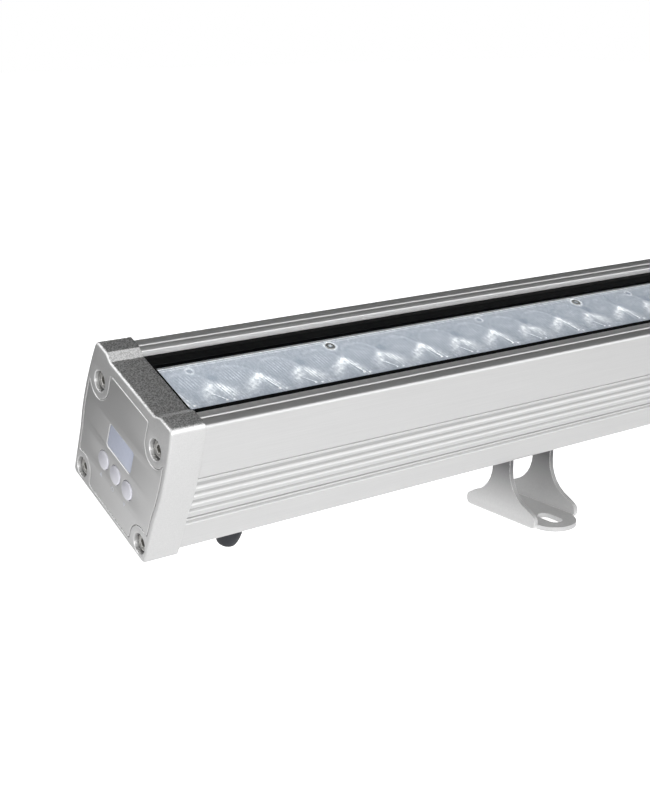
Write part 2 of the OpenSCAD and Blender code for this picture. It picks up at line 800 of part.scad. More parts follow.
module terminal_block() {
    translate([terminal_x, gland_y - terminal_w / 2, floor_top]) cube([terminal_l, terminal_w, terminal_h]);
}

module supply_terminal() color("#d8d6cc") {
    on_lamp() terminal_block();
}

module link_terminal() color("#d8d6cc") {
    on_far_end() terminal_block();
}

// Three wires side by side, from a terminal block to the power unit's end
module power_leads() {
    for (k = [-1 : 1]) {
        start = [terminal_x + terminal_l, gland_y + 3 * k * wire_r, terminal_level];
        finish = [driver_x, 3 * k * wire_r, driver_level];
        wire([start, start + [3 * terminal_l, 0, 0], finish - [3 * terminal_l, 0, 0], finish]);
    }
}

module supply_wires() color("#7a4a2a") {
    on_lamp() power_leads();
}

module link_wires() color("#7a4a2a") {
    on_far_end() power_leads();
}

// Wires from the power unit's side, along the shelf and up to the light boards
module light_wires() color("#c43a30") {
    on_lamp() for (i = [0 : module_count - 1]) {
        hole_x = end_margin + (i + peg_shares[0] / 2) * module_l;
        hole_y = board_half + 3 * wire_r;
        leave_x = lamp_l / 2 + (i - 1) * driver_l / 4;
        run_y = driver_w / 2 + 3 * wire_r;
        level = driver_level + 3 * i * wire_r;
        board_level = board_z + board_t + wire_r;
        wire([[leave_x, driver_w / 2, level], [leave_x, run_y, level], [hole_x, run_y, level],
              [hole_x, hole_y, shelf_z - 4 * wire_r], [hole_x, hole_y, board_level],
              [hole_x, board_half - 3 * wire_r, board_level]]);
    }
}

// A flat bundle of wires from the control board to the power unit
module control_wires() color("#3d5c8c") {
    on_lamp() for (k = [0 : 3]) {
        y = (k - 3 / 2) * (2 * wire_r + seat_gap);
        start = [control_board_x + control_board_t, y, window_z];
        finish = [driver_x, y, shelf_z - driver_h / 4];
        wire([start, start + [4 * wire_r, 0, 0], finish - [driver_x / 2, 0, 0], finish]);
    }
}

module control_board() color("#2f6b45") {
    on_lamp() difference() {
        translate([control_board_x, seat_gap - pocket_half, pocket_low + seat_gap])
            cube([control_board_t, 2 * (pocket_half - seat_gap), pocket_high - pocket_low - 2 * seat_gap]);
        at_spacers() rod_x(small_screw_r + screw_gap, cap_t);
    }
}

module at_spacers() {
    for (side = [-1, 1], z = [pocket_low + 2 * spacer_r, pocket_high - 2 * spacer_r])
        translate([cap_wall, side * (pocket_half - 2 * spacer_r), z]) children();
}

// Spacers between the cap's wall and the control board, with their screws
module board_spacers() color("#b5924c") {
    on_lamp() at_spacers() {
        rod_x(spacer_r, control_board_x - cap_wall);
        rod_x(small_screw_r, control_board_x - cap_wall + control_board_t);
        translate([control_board_x + control_board_t - cap_wall, 0, 0]) rod_x(small_head_r, small_head_t);
    }
}

module display_module() color("#22252b") {
    on_lamp() translate([window_sink + window_t + seat_gap, 0, window_z])
        along_x(control_board_x - window_sink - window_t - seat_gap)
            square([window_w - window_r, window_h - window_r], center = true);
}

module display_window() color("#aab0c4") {
    on_lamp() translate([window_sink, 0, window_z]) along_x(window_t) rounded_window(0);
}

module key_switches() color("#1d1e20") {
    on_lamp() at_buttons() {
        translate([control_board_x - switch_h, -switch_w / 2, -switch_w / 2]) cube([switch_h, switch_w, switch_w]);
        translate([plunger_top, 0, 0]) rod_x(stem_r, plunger_h + cut);
    }
}

// Push button number i, counted from the front: domed head, collar and stem
module push_button(i) {
    dome_r = (pow(button_r, 2) + pow(button_proud / 2, 2)) / button_proud;
    on_lamp() translate([0, (i - 1) * button_pitch, button_z]) {
        translate([-button_proud / 2, 0, 0]) rod_x(button_r, button_proud / 2 + cap_wall + seat_gap);
        intersection() {
            translate([dome_r - button_proud, 0, 0]) sphere(dome_r);
            translate([-button_proud, 0, 0]) rod_x(button_r, button_proud);
        }
        translate([button_back - collar_t, 0, 0]) rod_x(collar_r, collar_t);
        translate([button_back - collar_t, 0, 0]) rod_x(stem_r, collar_t + stem_l);
    }
}

module rear_button() color("#c9cede") push_button(2);
module middle_button() color("#c9cede") push_button(1);
module front_button() color("#c9cede") push_button(0);

module at_gland() {
    translate([gland_x, gland_y, skin_inset]) children();
}

// Threaded sleeve with a fixed hexagon, seated on the lamp's underside
module gland_body() {
    at_gland() difference() {
        union() {
            translate([0, 0, -gland_hex_t]) cylinder(r = gland_hex_r, h = gland_hex_t, $fn = 6);
            translate([0, 0, -gland_hex_t - gland_nut_h]) cylinder(r = gland_thread_r - grip_t / 2,
                                                                    h = gland_nut_h + gland_hex_t);
            cylinder(r = gland_thread_r, h = floor_t + locknut_t + seat_gap);
        }
        translate([0, 0, -gland_hex_t - gland_nut_h - cut])
            cylinder(r = cable_r + grip_t, h = gland_hex_t + gland_nut_h + floor_t + locknut_t + 3 * cut);
    }
}

// Domed nut, tapering to the place where the cable goes in
module gland_nut() {
    nut_low = -gland_hex_t - gland_nut_h;
    at_gland() difference() {
        rotate_extrude() polygon([
            [0, -gland_hex_t], [gland_nut_r, -gland_hex_t], [gland_nut_r, nut_low],
            [(2 * gland_nut_r + gland_tip_r) / 3, nut_low - gland_taper_h / 2],
            [gland_tip_r, nut_low - gland_taper_h + grip_t],
            [gland_tip_r - grip_t / 2, nut_low - gland_taper_h], [0, nut_low - gland_taper_h]]);
        translate([0, 0, nut_low - seat_gap]) cylinder(r = gland_thread_r - grip_t / 2 + screw_gap,
                                                        h = gland_nut_h + seat_gap + cut);
        translate([0, 0, nut_low - gland_taper_h - cut]) cylinder(r = cable_r, h = gland_taper_h + 2 * cut);
    }
}

// Rubber sleeve that the nut squeezes round the cable
module gland_grip() {
    at_gland() translate([0, 0, -gland_hex_t - gland_nut_h]) difference() {
        cylinder(r = cable_r + grip_t, h = grip_l);
        translate([0, 0, -cut]) cylinder(r = cable_r, h = grip_l + 2 * cut);
    }
}

module gland_locknut() {
    at_gland() translate([0, 0, floor_t]) difference() {
        cylinder(r = gland_hex_r, h = locknut_t, $fn = 6);
        translate([0, 0, -cut]) cylinder(r = gland_thread_r + screw_gap, h = locknut_t + 2 * cut);
    }
}

module supply_gland_body() color("#4c4d50") on_lamp() gland_body();
module supply_gland_nut() color("#4c4d50") on_lamp() gland_nut();
module supply_gland_grip() color("#1b1b1b") on_lamp() gland_grip();
module supply_gland_locknut() color("#4c4d50") on_lamp() gland_locknut();
module link_gland_body() color("#4c4d50") on_far_end() gland_body();
module link_gland_nut() color("#4c4d50") on_far_end() gland_nut();
module link_gland_grip() color("#1b1b1b") on_far_end() gland_grip();
module link_gland_locknut() color("#4c4d50") on_far_end() gland_locknut();

// Foot in the track, neck through its mouth, and an ear round the pivot
module slider() {
    ear_l = 2 * (leg_gap - slide_gap);
    foot_h = track_h - 2 * slide_gap;
    on_lamp() translate([bracket_inset, 0, 0]) difference() {
        union() {
            translate([-slider_l / 2, slide_gap - track_half, track_low + slide_gap])
                cube([slider_l, 2 * (track_half - slide_gap), foot_h]);
            translate([-ear_l / 2, slide_gap - mouth_half, -pivot_drop])
                cube([ear_l, 2 * (mouth_half - slide_gap), pivot_drop + track_low + 2 * slide_gap]);
            translate([-ear_l / 2, -ear_half, -pivot_drop]) cube([ear_l, 2 * ear_half, pivot_drop - slide_gap]);
            translate([-ear_l / 2, 0, -pivot_drop]) rod_x(ear_half, ear_l);
        }
        translate([-slider_l, 0, -pivot_drop]) rod_x(pivot_r + run_gap, 2 * slider_l);
        at_grubs() cylinder(r = grub_r + screw_gap, h = track_h + 2 * cut);
    }
}

module at_grubs() {
    for (end = [-1, 1])
        translate([end * (bracket_w / 2 + slider_l / 2) / 2, 0, track_low - cut]) children();
}

// Grub screws with key sockets, driven through the foot against the track's roof
module grub_screws() {
    on_lamp() translate([bracket_inset, 0, 0]) at_grubs() translate([0, 0, cut + slide_gap]) difference() {
        cylinder(r = grub_r, h = track_h - slide_gap - seat_gap / 2);
        translate([0, 0, -cut]) cylinder(r = grub_r / 2, h = grub_r + cut, $fn = socket_sides);
    }
}

module leg_outline() {
    half = concat(
        [[foot_y, 0]],
        arc([foot_y, foot_r], foot_r, -90, foot_end),
        arc([sweep_y, sweep_z], sweep_r, sweep_start, -180),
        [[neck_half, pivot_h]]);
    polygon(both_sides(half));
    translate([0, pivot_h]) circle(eye_r);
}

module channel_section() {
    difference() {
        union() {
            translate([-bracket_w / 2, bend_r]) square([bracket_w, pivot_h + eye_r]);
            translate([bend_r - bracket_w / 2, 0]) square([bracket_w - 2 * bend_r, 2 * bend_r]);
            for (side = [-1, 1]) translate([side * (bracket_w / 2 - bend_r), bend_r]) circle(bend_r);
        }
        translate([-leg_gap, sheet_t]) square([2 * leg_gap, pivot_h + 2 * eye_r]);
    }
}

module slot_outline() {
    run = slot_l / 2 - slot_r;
    for (end = [-1, 1]) translate([0, end * run]) circle(slot_r);
    square([2 * slot_r, 2 * run], center = true);
}

module sole_outline() {
    square([2 * tongue_half, 2 * (sole_half - tongue_half)], center = true);
    for (end = [-1, 1]) translate([0, end * (sole_half - tongue_half)]) circle(tongue_half);
}

// One folded sheet: two legs with eyes, and a sole with tongues and bolt slots
module bracket() {
    difference() {
        union() {
            intersection() {
                translate([0, foot_half, 0]) rotate([90, 0, 0]) linear_extrude(2 * foot_half) channel_section();
                translate([-bracket_w / 2, 0, 0]) along_x(bracket_w) leg_outline();
            }
            linear_extrude(sheet_t) sole_outline();
        }
        for (end = [-1, 1]) translate([0, end * slot_pitch / 2, -cut])
            linear_extrude(sheet_t + 2 * cut) slot_outline();
        translate([-bracket_w, 0, pivot_h]) rod_x(pivot_r + screw_gap, 2 * bracket_w);
    }
}

module pivot_bolt() {
    bolt_l = bracket_w + 2 * washer_t + pivot_hex_t + pivot_spare;
    translate([-washer_x - washer_t, 0, pivot_h]) {
        rod_x(pivot_r, bolt_l);
        translate([-pivot_hex_t, 0, 0]) rod_x(pivot_hex_r, pivot_hex_t, 6);
    }
}

module pivot_nut() {
    translate([washer_x + washer_t, 0, pivot_h]) difference() {
        rod_x(pivot_hex_r, pivot_hex_t, 6);
        translate([-cut, 0, 0]) rod_x(pivot_r + screw_gap, pivot_hex_t + 2 * cut);
    }
}

module washers() {
    for (x = [-washer_x - washer_t, washer_x]) translate([x, 0, pivot_h]) difference() {
        rod_x(washer_r, washer_t);
        translate([-cut, 0, 0]) rod_x(pivot_r + screw_gap, washer_t + 2 * cut);
    }
}

// Pieces of the second bracket stand further along the lamp
module at_second() {
    translate([bracket_span, 0, 0]) children();
}

module left_slider() color("#b4b6b9") slider();
module left_grub_screws() color("#6e7073") grub_screws();
module left_bracket() color("#e6e6e6") bracket();
module left_pivot_bolt() color("#a9acb0") pivot_bolt();
module left_pivot_nut() color("#a9acb0") pivot_nut();
module left_washers() color("#a9acb0") washers();
module right_slider() color("#b4b6b9") at_second() slider();
module right_grub_screws() color("#6e7073") at_second() grub_screws();
module right_bracket() color("#e6e6e6") at_second() bracket();
module right_pivot_bolt() color("#a9acb0") at_second() pivot_bolt();
module right_pivot_nut() color("#a9acb0") at_second() pivot_nut();
module right_washers() color("#a9acb0") at_second() washers();

housing();
left_cap();
right_cap();
control_plate();
blank_plate();
left_cap_seal();
right_cap_seal();
cap_screws();
glass_cover();
glass_gasket();
left_lens_module();
middle_lens_module();
right_lens_module();
lens_screws();
left_light_board();
middle_light_board();
right_light_board();
light_sources();
power_unit();
power_unit_screws();
supply_terminal();
link_terminal();
supply_wires();
link_wires();
light_wires();
control_wires();
control_board();
board_spacers();
display_module();
display_window();
key_switches();
rear_button();
middle_button();
front_button();
supply_gland_body();
supply_gland_nut();
supply_gland_grip();
supply_gland_locknut();
link_gland_body();
link_gland_nut();
link_gland_grip();
link_gland_locknut();
left_slider();
left_grub_screws();
left_bracket();
left_pivot_bolt();
left_pivot_nut();
left_washers();
right_slider();
right_grub_screws();
right_bracket();
right_pivot_bolt();
right_pivot_nut();
right_washers();
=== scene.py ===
# %% [markdown]
# # An outdoor wall washer light
#
# The lamp is a long aluminium extrusion with a cast cap at each end, a glass front over a row of
# lenses, and two folded brackets. The CAD model gives every place and size. Here each visible
# piece gets its real surface: rounded edges, grooves, lens relief and its own finish.

# %% Load the frame
import bpy
import bmesh
import json
import math
import numpy as np
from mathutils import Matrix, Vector
from mathutils.geometry import tessellate_polygon

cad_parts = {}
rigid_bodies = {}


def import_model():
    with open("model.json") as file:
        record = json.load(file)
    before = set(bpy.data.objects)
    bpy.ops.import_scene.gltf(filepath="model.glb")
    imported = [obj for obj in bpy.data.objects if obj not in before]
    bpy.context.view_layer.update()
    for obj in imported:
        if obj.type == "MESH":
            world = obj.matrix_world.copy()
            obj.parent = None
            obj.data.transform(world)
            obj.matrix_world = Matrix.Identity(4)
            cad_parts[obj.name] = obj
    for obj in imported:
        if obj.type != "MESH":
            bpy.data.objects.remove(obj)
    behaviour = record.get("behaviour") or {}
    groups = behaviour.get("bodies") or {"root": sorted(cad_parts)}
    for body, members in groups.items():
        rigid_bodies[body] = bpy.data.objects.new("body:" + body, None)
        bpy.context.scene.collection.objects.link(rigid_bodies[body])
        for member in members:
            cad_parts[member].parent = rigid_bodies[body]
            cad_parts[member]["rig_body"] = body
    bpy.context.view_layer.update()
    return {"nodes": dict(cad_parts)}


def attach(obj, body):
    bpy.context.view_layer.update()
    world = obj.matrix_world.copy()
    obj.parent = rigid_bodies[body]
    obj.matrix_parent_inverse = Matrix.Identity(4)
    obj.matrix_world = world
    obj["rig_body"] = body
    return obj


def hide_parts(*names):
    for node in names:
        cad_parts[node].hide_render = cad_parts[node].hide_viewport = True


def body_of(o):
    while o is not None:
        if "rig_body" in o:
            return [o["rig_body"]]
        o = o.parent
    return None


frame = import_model()

# %% [markdown]
# ## The camera
#
# The picture is taken from the lamp's control end, a little above it. A photograph could be matched
# by hand, but here the place was worked out from the lamp's straight edges, so it is set outright:
# a point, a heading and a dip, with a lens that gives the picture's width of view.

# %% Camera
MM = 0.001


def new_object(name, data):
    """An object in the scene."""
    made = bpy.data.objects.new(name, data)
    bpy.context.scene.collection.objects.link(made)
    return made


camera_data = bpy.data.cameras.new("camera")
camera_data.sensor_fit = "HORIZONTAL"
camera_data.sensor_width = 36
camera_data.lens = 75.6
camera = new_object("camera", camera_data)
camera.location = (-0.5899, -0.5816, 0.3078)
camera.rotation_euler = (math.radians(90 - 15.96), 0, math.radians(53.29 - 90))
bpy.context.scene.camera = camera
bpy.context.scene.view_settings.view_transform = "Standard"
print("camera at", tuple(camera.location))

# %% [markdown]
# ## Sizes
#
# These are the sizes of the real lamp in millimetres, the same as in its CAD source. The lamp is
# described upright: x runs along it from the control end, y across it and z up from its underside.
# SKIN is how far the housing lies inside the outline of its caps.

# %% Sizes of the lamp
LAMP_L, CAP_T, BRACKET_X, PIVOT_H, PIVOT_DROP = 1000, 18.5, 295, 54, 12
LEAN = math.radians(22.5)
CAP_H, RECESS_Z, RECESS_HALF, RIDGE_RUN = 80.9, 78.4, 22, 5
RIM_Z, CHANNEL_HALF, LEDGE_Z, LEDGE_HALF, SHELF_TOP, SKIN = 78.85, 25.9, 70.4, 20.2, 53, 1.2
GLASS_Z, GLASS_TOP, GLASS_HALF, GLASS_END = 71.2, 74.2, 23.7, 21
GASKET_TOP, LIP_TOP, LIP_HALF, LIP_END = 75.6, 75.15, 18.7, 22.6
MODULE_L, LENS_PITCH, LENS_HALF, LENS_TOP = 320, 320 / 12, 17.9, 71.0
END_MARGIN, PEG_Y = 20, 12.4
UPPER_SCREW, LOWER_SCREW, RECESS_R = (28.2, 63.2), (30.9, 7.5), 5.3
WINDOW_W, WINDOW_H, WINDOW_Z = 24.2, 12.9, 42.3
BUTTON_R, BUTTON_PITCH, BUTTON_Z = 4.9, 12.3, 26.2
GLAND_X, GLAND_Y = 63.5, -18.5
RIB_LOW, RIB_HIGH, RIB_DEPTH, HOLLOW_INSET = 17.8, 50.2, 1.3, 4.4
LENS_R, LENS_RIB, LENS_SLANT = 12.6, 1.78, 0.17


def turned_about_x(y, z, angle):
    """y and z after a turn about the X axis."""
    return y * math.cos(angle) - z * math.sin(angle), y * math.sin(angle) + z * math.cos(angle)


def lean_over(points):
    """Lamp millimetres to frame metres: turn by the lean about the pivot, and put that at its height."""
    x, y, z = np.moveaxis(np.asarray(points, float), -1, 0)
    y, z = turned_about_x(y, z + PIVOT_DROP, LEAN)
    return MM * np.stack([x - BRACKET_X, y, PIVOT_H + z], -1)


print("control end's middle:", lean_over([0, 0, 40]).round(4))

# %% [markdown]
# ## Surfaces from arrays
#
# Almost everything on a lamp like this is either an outline carried along a line or a profile turned
# round an axis. Both are grids: one parameter runs round, the other along. So one helper joins the
# points of a grid into faces, and another turns any set of grids into a closed Blender mesh.

# %% Grids and meshes
def grid(points, round_way=True, along_way=False):
    """Faces of a grid of points [along, round]: each point with its neighbours, wrapping where asked."""
    rows, cols = points.shape[:2]
    i = np.arange(rows if along_way else rows - 1)[:, None]
    j = np.arange(cols if round_way else cols - 1)[None, :]
    k, m = (i + 1) % rows, (j + 1) % cols
    quads = np.stack([i * cols + j, k * cols + j, k * cols + m, i * cols + m], -1).reshape(-1, 4)
    return points.reshape(-1, 3), quads.tolist()


def join(*parts):
    """Several (points, faces) as one, each part's faces counted on from the parts before it."""
    starts = np.cumsum([0] + [len(p) for p, _ in parts])
    faces = [[v + start for v in f] for (_, fs), start in zip(parts, starts) for f in fs]
    return np.concatenate([p for p, _ in parts]), faces


def tidy(mesh, sharp, merge=1e-6, join_flat=False):
    """Merge doubled points, join flat faces if asked, point all outwards, and keep only the sharp edges."""
    bm = bmesh.new()
    bm.from_mesh(mesh)
    bmesh.ops.remove_doubles(bm, verts=bm.verts, dist=merge)
    if join_flat:
        bmesh.ops.dissolve_limit(bm, angle_limit=math.radians(0.6), verts=bm.verts, edges=bm.edges)
    else:
        bmesh.ops.dissolve_degenerate(bm, edges=bm.edges, dist=1e-7)
    bmesh.ops.recalc_face_normals(bm, faces=bm.faces)
    bm.to_mesh(mesh)
    bm.free()
    mesh.shade_smooth()
    mesh.set_sharp_from_angle(angle=math.radians(sharp))


def piece(name, parts, body, nodes=(), slot=None, material=None, sharp=32, place=lean_over):
    """A finished piece: its grids put in place, made one closed mesh, and set to ride on its body."""
    points, faces = join(*parts)
    mesh = bpy.data.meshes.new(name)
    mesh.from_pydata(place(points).tolist(), [], faces)
    tidy(mesh, sharp)
    thing = new_object(name, mesh)
    if material:
        mesh.materials.append(material)
    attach(thing, body)
    if nodes:
        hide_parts(*nodes)
    print(name, len(mesh.polygons), "faces")
    return thing


# %% [markdown]
# ## Outlines
#
# An outline is a closed list of (y, z) points across the lamp. Real edges are never quite sharp, so a
# helper rounds every corner with a short parabola, and another moves an outline in or out by a little
# for bevels. Flat faces with holes are cut into triangles by Blender's own polygon tool.

# %% Outline helpers
def arc(centre, r, start, end, steps=8):
    """Points on a circle: the centre plus r times (cosine, sine) of evenly spaced angles."""
    a = np.radians(np.linspace(start, end, steps + 1))
    return np.stack([centre[0] + r * np.cos(a), centre[1] + r * np.sin(a)], -1)


def circle(centre, r, steps=40):
    """A whole circle without its doubled last point."""
    return arc(centre, r, 0, 360, steps)[:-1]


def both_sides(half):
    """A half outline from the bottom up on the +y side, and its mirror image back down."""
    return np.concatenate([half, half[::-1] * [-1, 1]])


def soften(loop, r, steps=3, least=20):
    """Each corner of more than least degrees becomes a parabola from r before it to r after it."""
    before, after = np.roll(loop, 1, 0) - loop, np.roll(loop, -1, 0) - loop
    lb, la = np.linalg.norm(before, axis=1), np.linalg.norm(after, axis=1)
    ub, ua = before / lb[:, None], after / la[:, None]
    sharp = np.degrees(np.arccos(np.clip(-(ub * ua).sum(1), -1, 1))) > least
    reach = np.minimum(r, 0.45 * np.minimum(lb, la))[:, None, None]
    s = np.linspace(0, 1, steps + 1)[None, :, None]
    p = loop[:, None, :]
    curve = p + reach * ((1 - s) ** 2 * ub[:, None, :] + s ** 2 * ua[:, None, :])
    curve = np.where(sharp[:, None, None], curve, p)
    keep = sharp[:, None] | (np.arange(steps + 1)[None, :] == 0)
    return curve[keep]


def moved_out(loop, d):
    """The outline moved outwards by d: points go along their edges' mean normal, further at a corner."""
    before, after = loop - np.roll(loop, 1, 0), np.roll(loop, -1, 0) - loop
    nb = np.stack([before[:, 1], -before[:, 0]], -1) / np.linalg.norm(before, axis=1)[:, None]
    na = np.stack([after[:, 1], -after[:, 0]], -1) / np.linalg.norm(after, axis=1)[:, None]
    n = nb + na
    n = n / np.maximum((n * nb).sum(1), 0.3)[:, None]
    area = np.sum(loop[:, 0] * np.roll(loop[:, 1], -1) - loop[:, 1] * np.roll(loop[:, 0], -1))
    return loop + np.sign(area) * d * n


def at_x(loop, x):
    """A (y, z) outline as points of the lamp at that x."""
    return np.concatenate([np.full((len(loop), 1), float(x)), loop], 1)


def wall(loop, x0, x1):
    """The outline carried from x0 to x1."""
    return grid(np.stack([at_x(loop, x0), at_x(loop, x1)]))


def quarter(r, steps):
    """Down a quarter circle: pairs of how much is missing from the full size and how deep that is."""
    a = np.linspace(0, math.pi / 2, steps + 1)
    return zip(r * (1 - np.sin(a)), r * (1 - np.cos(a)))


def rounded_wall(loop, x0, r, out, steps=4):
    """The outline carried from x0 to x0 + r while it grows by r as a quarter circle does."""
    rows = [at_x(moved_out(loop, -out * less), x0 + deep) for less, deep in quarter(r, steps)]
    return grid(np.stack(rows))


def flat(x, outer, *holes):
    """A flat face across the lamp at x, with holes, in triangles."""
    loops = [at_x(loop, x) for loop in (outer, *holes)]
    faces = tessellate_polygon([[Vector((0, p[1], p[2])) for p in loop] for loop in loops])
    return np.concatenate(loops), [list(f) for f in faces]


def prism(x0, x1, outer, *holes):
    """An outline with holes carried from x0 to x1, with a flat face at each end."""
    walls = [wall(loop, x0, x1) for loop in (outer, *holes)]
    return walls + [flat(x, outer, *holes) for x in (x0, x1)]


# %% [markdown]
# Turned parts such as screws, buttons and gland nuts are a profile of (height, radius) carried round an
# axis. A hexagon is the same grid with its radius divided by the cosine of the angle to the nearest
# flat, so one helper turns round and six-sided shapes alike, even a round head with a hexagon socket.

# %% Turned parts
def turned(profile, origin, axis=(1, 0, 0), sides=36, flats=6):
    """Rows of (height, radius, flatness) carried round the axis; flatness 1 makes flats, 0 a circle."""
    h, r, flatness = np.asarray(profile, float).T
    a = np.linspace(0, 2 * math.pi, sides, endpoint=False)
    off = (a % (2 * math.pi / flats)) - math.pi / flats
    shape = math.cos(math.pi / flats) / np.cos(off)
    radius = r[:, None] * (1 + flatness[:, None] * (shape[None, :] - 1))
    axis = np.asarray(axis, float)
    side = np.array([0, 0, 1.0]) if abs(axis[2]) < 0.5 else np.array([1.0, 0, 0])
    third = np.cross(axis, side)
    points = (np.asarray(origin, float) + h[:, None, None] * axis
              + radius[..., None] * (np.cos(a)[None, :, None] * side + np.sin(a)[None, :, None] * third))
    return grid(points)


def paint_points(thing, name, value):
    """Stores value(x, y, z), in lamp millimetres, as an attribute of the piece's points."""
    co = np.empty(len(thing.data.vertices) * 3)
    thing.data.vertices.foreach_get("co", co)
    x, y, z = co.reshape(-1, 3).T / MM
    y, z = turned_about_x(y, z - PIVOT_H, -LEAN)
    lamp = (x + BRACKET_X, y, z - PIVOT_DROP)
    layer = thing.data.attributes.new(name, "FLOAT", "POINT")
    layer.data.foreach_set("value", np.asarray(value(*lamp), np.float32))


print("helpers ready")

# %% [markdown]
# ## Shared shader effects
#
# Three effects come back in many finishes: fine grain or draw lines, edges that are worn and carry a
# painted highlight, and settled dust. Each is one node group with its own inputs, so that a change to it
# reaches every finish. A shader is a web of small nodes, so a few helpers make a node, feed its inputs and
# do sums with its outputs.

# %% Node helpers
WHITE = (1, 1, 1, 1)


def feed(tree, sockets, values):
    """Feeds sockets, by name or number, with nodes' outputs or plain values; None leaves one out."""
    for name, value in values.items():
        if isinstance(value, bpy.types.NodeSocket):
            tree.links.new(value, sockets[name])
        elif value is not None:
            sockets[name].default_value = value


def node(tree, kind, inputs=None, **settings):
    """A new shader node with its settings, such as its operation, and with its inputs fed."""
    made = tree.nodes.new("ShaderNode" + kind)
    for name, value in settings.items():
        setattr(made, name, value)
    feed(tree, made.inputs, inputs or {})
    return made


def times(tree, a, b, clamp=False):
    """a times b, kept between 0 and 1 where asked."""
    return node(tree, "Math", {0: a, 1: b}, operation="MULTIPLY", use_clamp=clamp).outputs[0]


def plus(tree, a, b, clamp=False):
    """a plus b, kept between 0 and 1 where asked."""
    return node(tree, "Math", {0: a, 1: b}, operation="ADD", use_clamp=clamp).outputs[0]


def minus(tree, a, b, clamp=False):
    """a minus b, kept between 0 and 1 where asked."""
    return node(tree, "Math", {0: a, 1: b}, operation="SUBTRACT", use_clamp=clamp).outputs[0]


def mix_color(tree, factor, a, b):
    """Colour a where the factor is 0 and colour b where it is 1."""
    return node(tree, "Mix", {"Factor": factor, 6: a, 7: b}, data_type="RGBA").outputs[2]


def object_place(tree):
    """The point's place on its own object."""
    return node(tree, "TexCoord").outputs["Object"]


def level_of(tree, vector):
    """The Z part of a vector: a point's height, or how far a face looks up."""
    return node(tree, "SeparateXYZ", {0: vector}).outputs["Z"]


def face_normal(tree):
    """The true normal of the surface."""
    return node(tree, "NewGeometry").outputs["Normal"]


def dot_product(tree, a, b):
    """How far vector a points along vector b."""
    return node(tree, "VectorMath", {0: a, 1: b}, operation="DOT_PRODUCT").outputs["Value"]


def new_group(name, inputs, outputs):
    """A group from {input: default}, with tuples for colours, and {output: kind}; gives its ends too."""
    tree = bpy.data.node_groups.new(name, "ShaderNodeTree")
    for label, value in inputs.items():
        kind = "NodeSocketColor" if isinstance(value, tuple) else "NodeSocketFloat"
        tree.interface.new_socket(name=label, in_out="INPUT", socket_type=kind).default_value = value
    for label, kind in outputs.items():
        tree.interface.new_socket(name=label, in_out="OUTPUT", socket_type="NodeSocket" + kind)
    return tree, tree.nodes.new("NodeGroupInput").outputs, tree.nodes.new("NodeGroupOutput").inputs


# %% [markdown]
# **Grain.** Cast and sandblasted metal has round speckles, and an extrusion has fine lines along its
# length. Both are noise; stretching the coordinates along x turns one into the other.

# %% Grain group
def build_grain():
    """Noise on stretched Object coordinates, as a height and as a contrasty mask."""
    tree, given, result = new_group("grain", {"Scale": 900.0, "Stretch": 1.0, "Contrast": 1.0},
                                    {"Height": "Float", "Mask": "Float"})
    shorter = node(tree, "Math", {0: 1.0, 1: given["Stretch"]}, operation="DIVIDE").outputs[0]
    stretch = node(tree, "CombineXYZ", {0: shorter, 1: 1, 2: 1}).outputs[0]
    place = node(tree, "VectorMath", {0: object_place(tree), 1: stretch}, operation="MULTIPLY").outputs[0]
    noise = {"Vector": place, "Scale": given["Scale"], "Detail": 3, "Roughness": 0.6}
    height = node(tree, "TexNoise", noise).outputs["Fac"]
    centred = times(tree, minus(tree, height, 0.5), given["Contrast"])
    feed(tree, result, {"Height": height, "Mask": plus(tree, centred, 0.5, clamp=True)})
    return tree


GRAIN = build_grain()


def grain_in(tree, scale, contrast=1.0, stretch=1.0):
    """The outputs of a grain group in a tree."""
    inputs = {"Scale": scale, "Stretch": stretch, "Contrast": contrast}
    return node(tree, "Group", inputs, node_tree=GRAIN).outputs


# %% [markdown]
# ** Worn and highlit edges.** Paint and anodising are thinnest on an edge, and handling polishes it; the
# lighter edge colour is also a painted highlight, the light a rounded edge would catch. A Bevel node gives
# the normal of an edge as if it were rounded; where that differs from the true normal, there is an edge
# nearby. It works on any mesh, the CAD's loose triangles too.

# %% Edge group
def build_edge_wear_and_highlight():
    """One minus the dot product of the true and the rounded normal, scaled and broken up by noise."""
    tree, given, result = new_group("worn_and_highlit_edges", {"Color": WHITE, "Edge Color": WHITE, "Amount": 1.0},
                                    {"Color": "Color", "Mask": "Float", "Normal": "Vector"})
    rounded = node(tree, "Bevel", {"Radius": 0.0006}, samples=6).outputs[0]
    near = times(tree, minus(tree, 1.0, dot_product(tree, rounded, face_normal(tree))), 9.0, clamp=True)
    patchy = plus(tree, grain_in(tree, 350, 2.5)["Mask"], 0.35, clamp=True)
    mask = times(tree, times(tree, near, patchy), given["Amount"], clamp=True)
    # Near an edge the tone moves to the edge colour: partly wear, partly a painted highlight.
    color = mix_color(tree, mask, given["Color"], given["Edge Color"])
    feed(tree, result, {"Color": color, "Mask": mask, "Normal": rounded})
    return tree


EDGE_WEAR_AND_HIGHLIGHT = build_edge_wear_and_highlight()

# %% [markdown]
# **Dust.** An outdoor lamp is never spotless. A faint warm dust settles on faces that look up and in
# soft patches, and it is duller than the metal under it.

# %% Dust group
DUST_COLOR = (0.42, 0.41, 0.39, 1)


